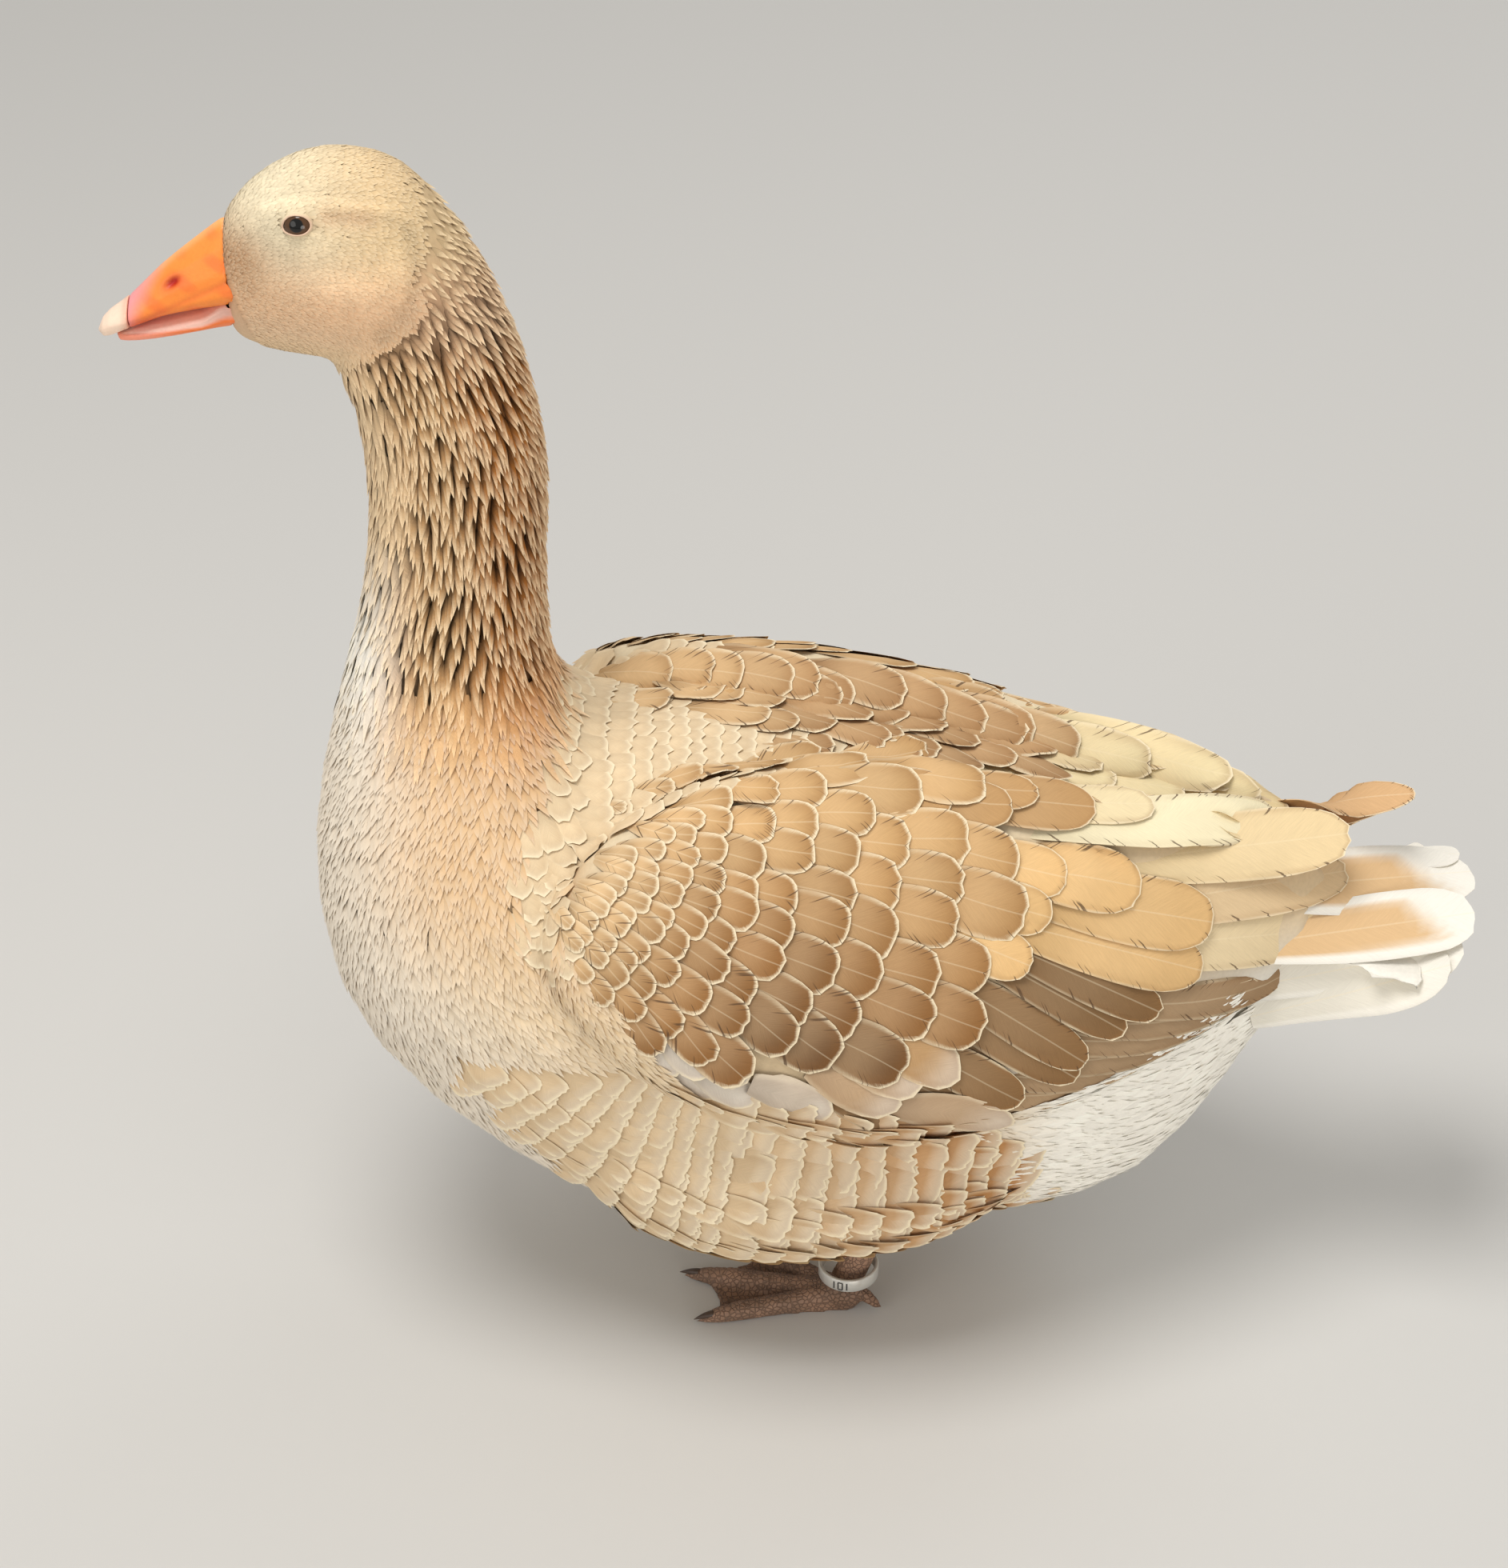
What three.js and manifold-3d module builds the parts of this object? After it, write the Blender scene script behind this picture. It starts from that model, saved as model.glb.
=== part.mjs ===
// A life-size domestic goose of the buff breed, standing with its neck upright and its wings folded.
// Millimetres, +Z up, floor at z = 0. The goose faces -Y, and its left side is +X.
import * as THREE from "three";
import { mergeVertices } from "three/addons/utils/BufferGeometryUtils.js";
import Module from "manifold-3d";

const wasm = await Module();
wasm.setup();

// ---- Driving dimensions ----
const GAP = 0.3; // clearance between pieces that touch
const BIG = 2000; // side of the boxes that cut the body into parts

const BILL_TIP_Y = -318;
const BILL_BASE_Y = -256;
const NAIL_LENGTH = 15;

const EYE_RADIUS = 7.5;
const EYE = { x: 17.6, y: -224, z: 584.5 };

const THROAT = { y: -211, z: 509 }; // the head ends on the line from throat to nape
const NAPE = { y: -137, z: 535 };
const NECK_MIDDLE_Z = 432;
const NECK_BASE = { y: -165, z: 352, rise: 0.06 };

const LEG = { x: 52, heelY: 14, hockY: 46, hockZ: 96, ankleZ: 13 };
const TOE_TURN = -13; // degrees that the feet turn inwards
const WEB_THICKNESS = 2.6;
const TOES = [
  { angle: -27, length: 62, width: 11 }, // inner
  { angle: 0, length: 84, width: 12 }, // middle
  { angle: 25, length: 76, width: 11 }, // outer
];
const HIND_TOE_ANGLE = -24;

const BAND = { inner: 13.2, outer: 15, height: 7.4, z: 23.5 };

const PRIMARY_TIP_Y = { left: 257, right: 282 };

const TAIL_TIP_Y = 318;
const TAIL_FAN = { feathers: 7, spread: 21, pivotY: 175, rootZ: 213, width: 30, droop: 0.3 };

// ---- Materials ----
const finish = (color, roughness, metalness = 0) =>
  new THREE.MeshStandardMaterial({ color, roughness, metalness });
const materials = {
  plumage: finish("#d9b483", 0.85),
  quill: finish("#d6b07c", 0.7),
  white: finish("#f2ecdd", 0.8),
  bill: finish("#f08a35", 0.45),
  nail: finish("#f3cdb6", 0.4),
  eye: finish("#2a1a12", 0.1),
  leg: finish("#b46a45", 0.6),
  band: finish("#dcdad2", 0.4),
};

// ---- Shapes ----
const vec = (x, y, z) => new THREE.Vector3(x, y, z);

// A section of a loft: its centre, and its half axes to the side, upwards and downwards.
const section = (centre, side, up, down) => ({ centre, side, up, down });

// An upright cross-section of the body at y, symmetric about the middle plane.
const upright = (y, z, halfWidth, above, below, x = 0) =>
  section(vec(x, y, z), vec(halfWidth, 0, 0), vec(0, 0, above), vec(0, 0, -below));

// A cross-section of the body that spans the middle plane from a point on the back to one on the front.
const span = ([backY, backZ], [frontY, frontZ], halfWidth) => {
  const half = vec(0, backY - frontY, backZ - frontZ).multiplyScalar(0.5);
  const centre = vec(0, frontY, frontZ).add(half);
  return section(centre, vec(halfWidth, 0, 0), half, half.clone().negate());
};

// A cross-section of a folded wing at y: a lens from its bottom edge to its top edge.
const lens = (y, bottom, top, bulge) => {
  const b = vec(bottom[0], y, bottom[1]);
  const t = vec(top[0], y, top[1]);
  const up = t.clone().sub(b).multiplyScalar(0.5);
  const side = vec(up.z, 0, -up.x).setLength(bulge);
  return section(b.add(up), side, up, up.clone().negate());
};

// The smooth curve through one property of every section.
const through = (sections, key) =>
  new THREE.CatmullRomCurve3(sections.map((s) => s[key]), false, "catmullrom", 0.5);

const roundedPower = (value, power) => Math.sign(value) * Math.abs(value) ** (2 / power);

// A closed skin over sections: a sphere geometry whose rings take each section's place.
// A power over 2 makes the sections squarer, and grow widens them by that many millimetres.
function loft(sections, { around, along, power = 2, grow = 0 }) {
  const curves = ["centre", "side", "up", "down"].map((key) => through(sections, key));
  const geometry = new THREE.SphereGeometry(1, around, along);
  const position = geometry.getAttribute("position");
  const uv = geometry.getAttribute("uv");
  const widen = (v) => v.setLength(v.length() + grow);
  for (let i = 0; i < position.count; i++) {
    const ring = Math.round((1 - uv.getY(i)) * along);
    const [centre, side, up, down] = curves.map((c) => c.getPoint(ring / along));
    if (ring > 0 && ring < along) {
      const column = i % (around + 1);
      const angle = (2 * Math.PI * (column % around)) / around;
      const s = Math.sin(angle);
      centre.addScaledVector(widen(side), roundedPower(Math.cos(angle), power));
      centre.addScaledVector(widen(s >= 0 ? up : down), roundedPower(Math.abs(s), power));
    }
    position.setXYZ(i, centre.x, centre.y, centre.z);
  }
  return solid(geometry);
}

// The manifold of a closed geometry, with its faces pointing out.
function solid(geometry) {
  const bare = geometry.clone();
  bare.deleteAttribute("normal");
  bare.deleteAttribute("uv");
  const merged = mergeVertices(bare, 1e-3);
  const make = (triVerts) =>
    new wasm.Manifold(
      new wasm.Mesh({
        numProp: 3,
        vertProperties: merged.attributes.position.array,
        triVerts,
      }),
    );
  const triVerts = new Uint32Array(merged.index.array);
  const made = make(triVerts);
  return made.volume() > 0 ? made : make(triVerts.reverse());
}

const joined = (...solids) => solids.reduce((a, b) => a.add(b));
const without = (whole, ...cutters) => cutters.reduce((a, b) => a.subtract(b), whole);

// The half space on one side of the plane through (y, z) that leans by slope, as a big box.
function halfSpace(y, z, slope, above) {
  const box = new THREE.BoxGeometry(BIG, BIG, BIG);
  box.translate(0, 0, above ? BIG / 2 : -BIG / 2);
  box.rotateX(Math.atan(slope));
  box.translate(0, y, z + (above ? GAP / 2 : -GAP / 2));
  return solid(box);
}

const sideSpace = (sign) =>
  solid(new THREE.BoxGeometry(BIG, BIG, BIG).translate(sign * (BIG / 2 + GAP / 2), 0, 0));

// ---- Body: trunk, flanks, neck and head as one form ----
// The sections run from the rump forwards, turn up round the breast and climb the neck into the head.
function trunkAndNeckForm(grow) {
  const sections = [
    span([268, 234], [268, 206], 12),
    span([240, 247], [240, 180], 30),
    span([214, 257], [214, 144], 39),
    span([188, 266], [190, 102], 53),
    span([156, 277], [158, 66], 73),
    span([110, 291], [112, 52], 95),
    span([60, 303], [60, 52], 109),
    span([5, 310], [5, 50], 113),
    span([-48, 315], [-50, 52], 113),
    span([-92, 316], [-102, 62], 112),
    span([-108, 320], [-152, 93], 109),
    span([-115, 326], [-204, 140], 102),
    span([-119, 333], [-233, 190], 91),
    span([-122, 341], [-240, 245], 76),
    span([-124, 350], [-234, 294], 60),
    span([-126, 362], [-223, 338], 47),
    span([-127, 380], [-212, 379], 38),
    span([-127, 406], [-207, 408], 34),
    span([-125, 435], [-204, 437], 32),
    span([-125, 464], [-205, 466], 31),
    span([-129, 490], [-208, 490], 30),
    span([-134, 514], [-216, 510], 29),
    span([-141, 538], [-215, 530], 28),
    span([-152, 562], [-210, 552], 25),
    span([-168, 582], [-205, 572], 18),
  ];
  return loft(sections, { around: 24, along: 36, power: 2.25, grow });
}

// The feathered thigh and flank lie low on each side, and end in a point behind.
function flankForm(sign, grow) {
  const sections = [
    upright(-150, 150, 6, 10, 10, sign * 60),
    upright(-122, 140, 30, 44, 34, sign * 62),
    upright(-85, 124, 43, 56, 54, sign * 67),
    upright(-35, 112, 49, 58, 52, sign * 70),
    upright(15, 108, 46, 54, 46, sign * 71),
    upright(55, 108, 36, 44, 34, sign * 74),
    upright(86, 106, 16, 18, 13, sign * 77),
    upright(100, 105, 4, 5, 4, sign * 78),
  ];
  return loft(sections, { around: 12, along: 11, grow });
}

function headForm(grow) {
  const sections = [
    upright(-261, 556, 10, 17, 27),
    upright(-256, 556, 16, 29, 35),
    upright(-242, 556, 22, 44, 40),
    upright(-222, 556, 27, 54, 43),
    upright(-203, 556, 30, 55, 46),
    upright(-184, 553, 31, 52, 46),
    upright(-167, 549, 27, 38, 40),
    upright(-154, 545, 20, 22, 26),
    upright(-146, 543, 8, 8, 10),
  ];
  return loft(sections, { around: 18, along: 14, grow });
}

const bodyForm = (grow) =>
  joined(trunkAndNeckForm(grow), flankForm(1, grow), flankForm(-1, grow), headForm(grow));

const eyeball = (sign, grow) => {
  const ball = new THREE.SphereGeometry(EYE_RADIUS + grow, 14, 9);
  return solid(ball.translate(sign * EYE.x, EYE.y, EYE.z));
};

// ---- Wings: a shield of coverts and flight feathers that lies on the trunk ----
function shieldForm(sign, grow) {
  const at = (y, bottom, top, bulge) =>
    lens(y, [sign * bottom[0], bottom[1]], [sign * top[0], top[1]], sign * bulge);
  const sections = [
    at(-130, [105, 258], [102, 266], 3),
    at(-118, [112, 234], [90, 291], 17),
    at(-98, [116, 209], [73, 308], 28),
    at(-65, [119, 184], [54, 318], 38),
    at(-20, [121, 168], [40, 322], 43),
    at(30, [119, 160], [34, 318], 41),
    at(80, [110, 161], [28, 309], 36),
    at(125, [94, 167], [23, 299], 30),
    at(165, [74, 177], [18, 287], 23),
    at(200, [54, 187], [12, 273], 16),
    at(225, [42, 205], [8, 264], 10),
    at(242, [30, 226], [8, 256], 5),
  ];
  return loft(sections, { around: 16, along: 16, grow });
}

// The primaries lie under the shield and cross above the tail, one side further back than the other.
function primariesForm(sign, grow) {
  const at = (y, bottom, top, bulge) =>
    lens(y, [sign * bottom[0], bottom[1]], [sign * top[0], top[1]], sign * bulge);
  const tip = PRIMARY_TIP_Y[sign > 0 ? "left" : "right"];
  const sections = [
    at(120, [92, 176], [70, 225], 8),
    at(165, [70, 184], [46, 240], 10),
    at(205, [47, 194], [28, 256], 9),
    at(tip - 40, [30, 214], [17, 266], 6),
    at(tip - 18, [21, 235], [11, 271], 4),
    at(tip, [16, 256], [9, 268], 2),
  ];
  return loft(sections, { around: 12, along: 10, grow });
}

// ---- Tail ----
// The soft wedge of coverts above and below the quills of the tail.
function tailCovertForm() {
  const sections = [
    upright(200, 218, 26, 18, 36),
    upright(230, 217, 35, 17, 44),
    upright(256, 214, 41, 13, 41),
    upright(280, 211, 40, 9, 25),
    upright(300, 208, 30, 5, 11),
    upright(308, 207, 12, 3, 4),
  ];
  return loft(sections, { around: 14, along: 8 });
}

// One tail feather, a thin blade with a rounded tip. Feathers further from the middle hang lower.
function tailFeatherForm(degrees) {
  const { pivotY, rootZ, width, droop } = TAIL_FAN;
  const reach = TAIL_TIP_Y - pivotY;
  const half = width / 2;
  const sections = [
    upright(reach - 100, 8, half * 0.5, 3, 3),
    upright(reach - 65, 6, half * 0.8, 3, 3),
    upright(reach - 28, 2, half, 2.5, 2.5),
    upright(reach - 8, 0, half * 0.85, 2, 2),
    upright(reach, -1, half * 0.3, 1, 1),
  ];
  const blade = loft(sections, { around: 6, along: 6 }).rotate([0, degrees * droop, -degrees]);
  return blade.translate([0, pivotY, rootZ - Math.abs(degrees) * droop]);
}

function tailForm() {
  const { feathers, spread } = TAIL_FAN;
  const turns = Array.from({ length: feathers }, (_, i) => spread * ((2 * i) / (feathers - 1) - 1));
  return joined(tailCovertForm(), ...turns.map(tailFeatherForm));
}

// ---- Bill ----
function upperBillForm() {
  const sections = [
    upright(BILL_BASE_Y + 6, 548, 15, 33, 7),
    upright(BILL_BASE_Y, 548, 15, 33, 9),
    upright(-272, 544, 13.5, 25, 7.5),
    upright(-288, 539, 12, 16.5, 6.5),
    upright(-302, 533, 10.5, 8, 6),
    upright(-312, 529, 7.5, 4.5, 7),
    upright(BILL_TIP_Y, 524, 3, 3, 3),
  ];
  return loft(sections, { around: 16, along: 12, power: 1.8 });
}

function lowerBillForm() {
  const sections = [
    upright(-246, 537, 12, 4, 7),
    upright(-262, 535, 12, 4, 7),
    upright(-280, 530, 10.5, 4, 6),
    upright(-296, 525.5, 8.5, 4, 4.5),
    upright(-306, 523, 6, 3, 3),
    upright(-310, 522, 3, 2, 2),
  ];
  return loft(sections, { around: 12, along: 9, power: 2.2 });
}

// ---- Legs ----
// The scaled shank, from the hock inside the flank's plumage down to the foot.
function shankForm(sign) {
  const x = sign * LEG.x;
  const ring = (y, z, half) =>
    section(vec(x, y, z), vec(half * 0.85, 0, 0), vec(0, half, 0), vec(0, -half, 0));
  const { heelY, hockY, hockZ, ankleZ } = LEG;
  const middle = (share) => heelY + (hockY - heelY) * share;
  const sections = [
    ring(hockY, hockZ, 11),
    ring(middle(0.75), ankleZ + (hockZ - ankleZ) * 0.75, 8.5),
    ring(middle(0.4), ankleZ + (hockZ - ankleZ) * 0.4, 8),
    ring(middle(0.12), ankleZ + (hockZ - ankleZ) * 0.12, 8.5),
    ring(heelY - 3, ankleZ - 7, 9.5),
  ];
  return loft(sections, { around: 12, along: 6 });
}

// One toe from the heel, arched at its joints, with a blunt claw. It points along -Y before it is turned.
function toeForm({ length, width }) {
  const at = (share, z, halfWidth, half) =>
    upright(-share * length, z, halfWidth, half, half + 1);
  const half = width / 2;
  const sections = [
    at(-0.08, 6, half, 5),
    at(0.1, 7, half * 1.15, 6.5),
    at(0.35, 5.5, half * 0.9, 5),
    at(0.6, 5, half, 5),
    at(0.82, 4, half * 0.85, 4),
    at(0.92, 3, half * 0.45, 2.5),
    at(1, 1.2, 1, 1),
  ];
  return loft(sections, { around: 8, along: 7 });
}

// The hind toe sits above the ground on the inner side of the heel.
function hindToeForm(sign) {
  const sections = [
    upright(-4, 12, 4, 4, 4),
    upright(6, 11, 4, 4, 4),
    upright(15, 7, 3.4, 3.4, 3.4),
    upright(21, 3, 1.5, 1.5, 1.5),
  ];
  return placedFoot(loft(sections, { around: 6, along: 5 }), sign, sign * HIND_TOE_ANGLE);
}

// The web between the outer toes, with an edge that curves in between the toe tips.
function webForm() {
  const tips = TOES.map(({ angle, length }) => {
    const a = THREE.MathUtils.degToRad(angle);
    return new THREE.Vector2(Math.sin(a), -Math.cos(a)).multiplyScalar(length * 0.86);
  });
  const outline = new THREE.Shape();
  outline.moveTo(-5, 6);
  outline.lineTo(tips[0].x, tips[0].y);
  for (const [from, to] of [
    [tips[0], tips[1]],
    [tips[1], tips[2]],
  ]) {
    const inset = from.clone().add(to).multiplyScalar(0.5 * 0.88);
    outline.quadraticCurveTo(inset.x, inset.y, to.x, to.y);
  }
  outline.lineTo(5, 6);
  const options = { depth: WEB_THICKNESS, bevelEnabled: false, curveSegments: 5 };
  return solid(new THREE.ExtrudeGeometry(outline, options));
}

// Turns a form about the heel and sets it at the foot's place.
function placedFoot(form, sign, degrees) {
  const turned = form.rotate([0, 0, degrees]);
  return turned.translate([sign * LEG.x, LEG.heelY, 0]);
}

function footForm(sign) {
  const turn = sign * TOE_TURN;
  const toes = TOES.map((toe) => placedFoot(toeForm(toe), sign, sign * toe.angle + turn));
  const web = placedFoot(sign > 0 ? webForm() : webForm().mirror([1, 0, 0]), sign, turn);
  const ankle = solid(
    new THREE.SphereGeometry(10, 10, 6).scale(1, 1.1, 0.95).translate(sign * LEG.x, LEG.heelY, 8),
  );
  const whole = joined(...toes, hindToeForm(sign), web, ankle);
  return whole.intersect(halfSpace(0, -GAP / 2, 0, true));
}

function bandForm() {
  const { inner, outer, height } = BAND;
  const profile = [
    [inner, -height / 2],
    [outer, -height / 2],
    [outer, height / 2],
    [inner, height / 2],
    [inner, -height / 2],
  ].map(([r, z]) => new THREE.Vector2(r, z));
  const ring = new THREE.LatheGeometry(profile, 28).rotateX(Math.PI / 2);
  return solid(ring.translate(LEG.x, LEG.heelY + 2, BAND.z));
}

// ---- Assembly ----
const goose = new THREE.Group();

function add(name, form, material) {
  const { numProp, vertProperties, triVerts } = form.getMesh();
  const position = new THREE.InterleavedBufferAttribute(
    new THREE.InterleavedBuffer(vertProperties, numProp),
    3,
    0,
  );
  const geometry = new THREE.BufferGeometry().setAttribute("position", position);
  geometry.setIndex(new THREE.BufferAttribute(triVerts, 1));
  const mesh = new THREE.Mesh(geometry.toNonIndexed(), material);
  mesh.geometry.computeVertexNormals();
  mesh.name = name;
  goose.add(mesh);
}

const body = bodyForm(0);
const bodyRoom = bodyForm(GAP);
const sides = [
  ["left", 1],
  ["right", -1],
];
const headSlope = (NAPE.z - THROAT.z) / (NAPE.y - THROAT.y);
const aboveThroat = halfSpace(THROAT.y, THROAT.z, headSlope, true);
const belowThroat = halfSpace(THROAT.y, THROAT.z, headSlope, false);
const aboveNeckBase = halfSpace(NECK_BASE.y, NECK_BASE.z, NECK_BASE.rise, true);
const belowNeckBase = halfSpace(NECK_BASE.y, NECK_BASE.z, NECK_BASE.rise, false);
const aboveMiddle = halfSpace(NECK_BASE.y, NECK_MIDDLE_Z, 0, true);
const belowMiddle = halfSpace(NECK_BASE.y, NECK_MIDDLE_Z, 0, false);

const sockets = [eyeball(1, GAP), eyeball(-1, GAP)];
const neck = body.intersect(belowThroat).intersect(aboveNeckBase);
add("head", without(body.intersect(aboveThroat), ...sockets), materials.plumage);
add("neck_upper", neck.intersect(aboveMiddle), materials.plumage);
add("neck_lower", neck.intersect(belowMiddle), materials.plumage);
add("trunk", body.intersect(belowNeckBase), materials.plumage);

const bill = without(upperBillForm(), bodyRoom);
const nailBack = BILL_TIP_Y + NAIL_LENGTH;
const nailSide = (ahead) => {
  const box = new THREE.BoxGeometry(BIG, BIG, BIG);
  return solid(box.translate(0, nailBack + (ahead ? -1 : 1) * (BIG / 2 + GAP / 2), 0));
};
add("bill_upper", bill.intersect(nailSide(false)), materials.bill);
add("bill_nail", bill.intersect(nailSide(true)), materials.nail);
const upperRoom = upperBillForm().translate([0, 0, -GAP]);
add("bill_lower", without(lowerBillForm(), bodyRoom, upperRoom, upperBillForm()), materials.bill);

const shieldRooms = sides.map(([, sign]) => shieldForm(sign, GAP));
const primaryRooms = sides.map(([, sign]) => primariesForm(sign, GAP));
for (const [side, sign] of sides) {
  const half = sideSpace(sign);
  add("eye_" + side, eyeball(sign, 0), materials.eye);
  const shield = without(shieldForm(sign, 0), bodyRoom).intersect(half);
  add("wing_" + side, shield, materials.quill);
  const primaries = without(primariesForm(sign, 0), bodyRoom, ...shieldRooms).intersect(half);
  add("primaries_" + side, primaries, materials.quill);
}
add("tail", without(tailForm(), bodyRoom, ...shieldRooms, ...primaryRooms), materials.white);

for (const [side, sign] of sides) {
  const foot = footForm(sign);
  const footRoom = foot.translate([0, 0, GAP]);
  add("foot_" + side, foot, materials.leg);
  add("shank_" + side, without(shankForm(sign), bodyRoom, foot, footRoom), materials.leg);
}
add("leg_band", bandForm(), materials.band);

export default goose;
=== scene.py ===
"""The looks of a life-size domestic goose of a buff breed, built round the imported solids.

Lengths are in millimetres until a mesh is made, which turns them into metres.
The goose faces -Y, and its left side is +X.
"""
import math

import bpy
import numpy as np
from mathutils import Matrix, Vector
from mathutils.bvhtree import BVHTree


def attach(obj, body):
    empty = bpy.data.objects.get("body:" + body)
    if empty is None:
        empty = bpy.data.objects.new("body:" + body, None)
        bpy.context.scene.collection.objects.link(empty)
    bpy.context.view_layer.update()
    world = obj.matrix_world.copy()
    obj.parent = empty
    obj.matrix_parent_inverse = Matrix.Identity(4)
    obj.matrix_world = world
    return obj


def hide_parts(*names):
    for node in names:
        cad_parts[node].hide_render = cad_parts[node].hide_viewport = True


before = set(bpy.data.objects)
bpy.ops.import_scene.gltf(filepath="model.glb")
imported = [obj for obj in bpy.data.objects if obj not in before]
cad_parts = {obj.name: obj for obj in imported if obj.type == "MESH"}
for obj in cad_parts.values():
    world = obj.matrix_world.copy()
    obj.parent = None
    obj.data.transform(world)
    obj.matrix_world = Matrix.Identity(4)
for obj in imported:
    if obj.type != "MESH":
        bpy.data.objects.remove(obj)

MM = 0.001
RNG = np.random.default_rng(20)
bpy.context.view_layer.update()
SIDES = (("left", 1.0), ("right", -1.0))

# ---- Camera, floor and light ----
CAMERA_AT = np.array([1517.6, -31.2, 1344.1])
CAMERA_DOWN = math.radians(35.0)
LENS, SENSOR = 90.0, 36.0
NEAREST, FARTHEST = 0.05, 50.0
LOOK = np.array([-math.cos(CAMERA_DOWN), 0.0, -math.sin(CAMERA_DOWN)])
FALL = np.array([math.sin(CAMERA_DOWN), 0.0, -math.cos(CAMERA_DOWN)])
FLOOR_HALF = 6.0
FLOOR_COLOUR, FLOOR_ROUGHNESS = (0.62, 0.61, 0.59), 0.9
# name, place in metres, width in metres, watts, colour
LAMPS = (
    ("sky", (0.5, -0.5, 2.6), 1.2, 38.0, (1.0, 0.98, 0.95)),
    ("front", (1.8, -1.8, 1.2), 1.6, 10.0, (1.0, 0.97, 0.93)),
    ("back", (-1.6, 1.4, 1.8), 1.4, 10.0, (0.95, 0.97, 1.0)),
    ("side", (2.6, 0.9, 0.35), 1.4, 20.0, (1.0, 0.96, 0.9)),
)
LAMPS_AIM = Vector((0.0, 0.0, 0.3))
SKY_COLOUR, SKY_STRENGTH = (1.0, 0.98, 0.94, 1.0), 0.5


def linked(thing):
    bpy.context.scene.collection.objects.link(thing)
    return thing


def aimed(thing, way):
    thing.rotation_mode = "QUATERNION"
    thing.rotation_quaternion = Vector(way).to_track_quat("-Z", "Y")
    return linked(thing)


def make_stage():
    scene = bpy.context.scene
    data = bpy.data.cameras.new("camera")
    data.lens, data.sensor_width, data.clip_start, data.clip_end = LENS, SENSOR, NEAREST, FARTHEST
    camera = bpy.data.objects.new("camera", data)
    camera.location = CAMERA_AT * MM
    scene.camera = aimed(camera, LOOK)
    scene.view_settings.view_transform = "Standard"

    mesh = bpy.data.meshes.new("floor")
    corners = [(x * FLOOR_HALF, y * FLOOR_HALF, 0) for x, y in ((-1, -1), (1, -1), (1, 1), (-1, 1))]
    mesh.from_pydata(corners, [], [(0, 1, 2, 3)])
    mesh.materials.append(Nodes("floor_paint").finish(FLOOR_COLOUR, FLOOR_ROUGHNESS))
    floor = linked(bpy.data.objects.new("floor", mesh))

    for name, place, size, watts, colour in LAMPS:
        light = bpy.data.lights.new(name, "AREA")
        light.shape, light.size, light.energy, light.color = "DISK", size, watts, colour
        lamp = bpy.data.objects.new(name, light)
        lamp.location = place
        aimed(lamp, LAMPS_AIM - Vector(place))
    scene.world = bpy.data.worlds.new("world")
    scene.world.use_nodes = True
    sky = scene.world.node_tree.nodes["Background"]
    sky.inputs["Color"].default_value = SKY_COLOUR
    sky.inputs["Strength"].default_value = SKY_STRENGTH


# ---- Colours and small sums ----
def tone(code):
    """A linear colour from a #rrggbb code."""
    rgb = np.array([int(code[i : i + 2], 16) for i in (1, 3, 5)]) / 255.0
    return np.where(rgb > 0.04045, ((rgb + 0.055) / 1.055) ** 2.4, rgb / 12.92)


WHITE = tone("#f2eee4")
CREAM = tone("#f5e6c6")
PALE_BUFF = tone("#e6cda6")
BUFF = tone("#d3a674")
BROWN = tone("#94693f")
DARK = tone("#5a4330")


def mix(a, b, share):
    share = np.clip(np.asarray(share, float), 0.0, 1.0)[..., None]
    return a * (1.0 - share) + b * share


def ramp(value, low, high):
    """A smooth step from 0 at low to 1 at high."""
    x = np.clip((value - low) / (high - low), 0.0, 1.0)
    return x * x * (3.0 - 2.0 * x)


def bell(value, middle, width):
    """1 at the middle, falling off smoothly on both sides."""
    return np.exp(-(((value - middle) / width) ** 2))


def unit(v):
    return v / np.maximum(np.linalg.norm(v, axis=-1, keepdims=True), 1e-9)


def vary(colours, amount):
    """The same colours, each a little lighter or darker."""
    return colours * (1.0 + RNG.uniform(-amount, amount, (len(colours), 1)))


def every(colour, count):
    """One colour for each of count points."""
    return np.repeat(colour[None], count, 0)


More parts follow.
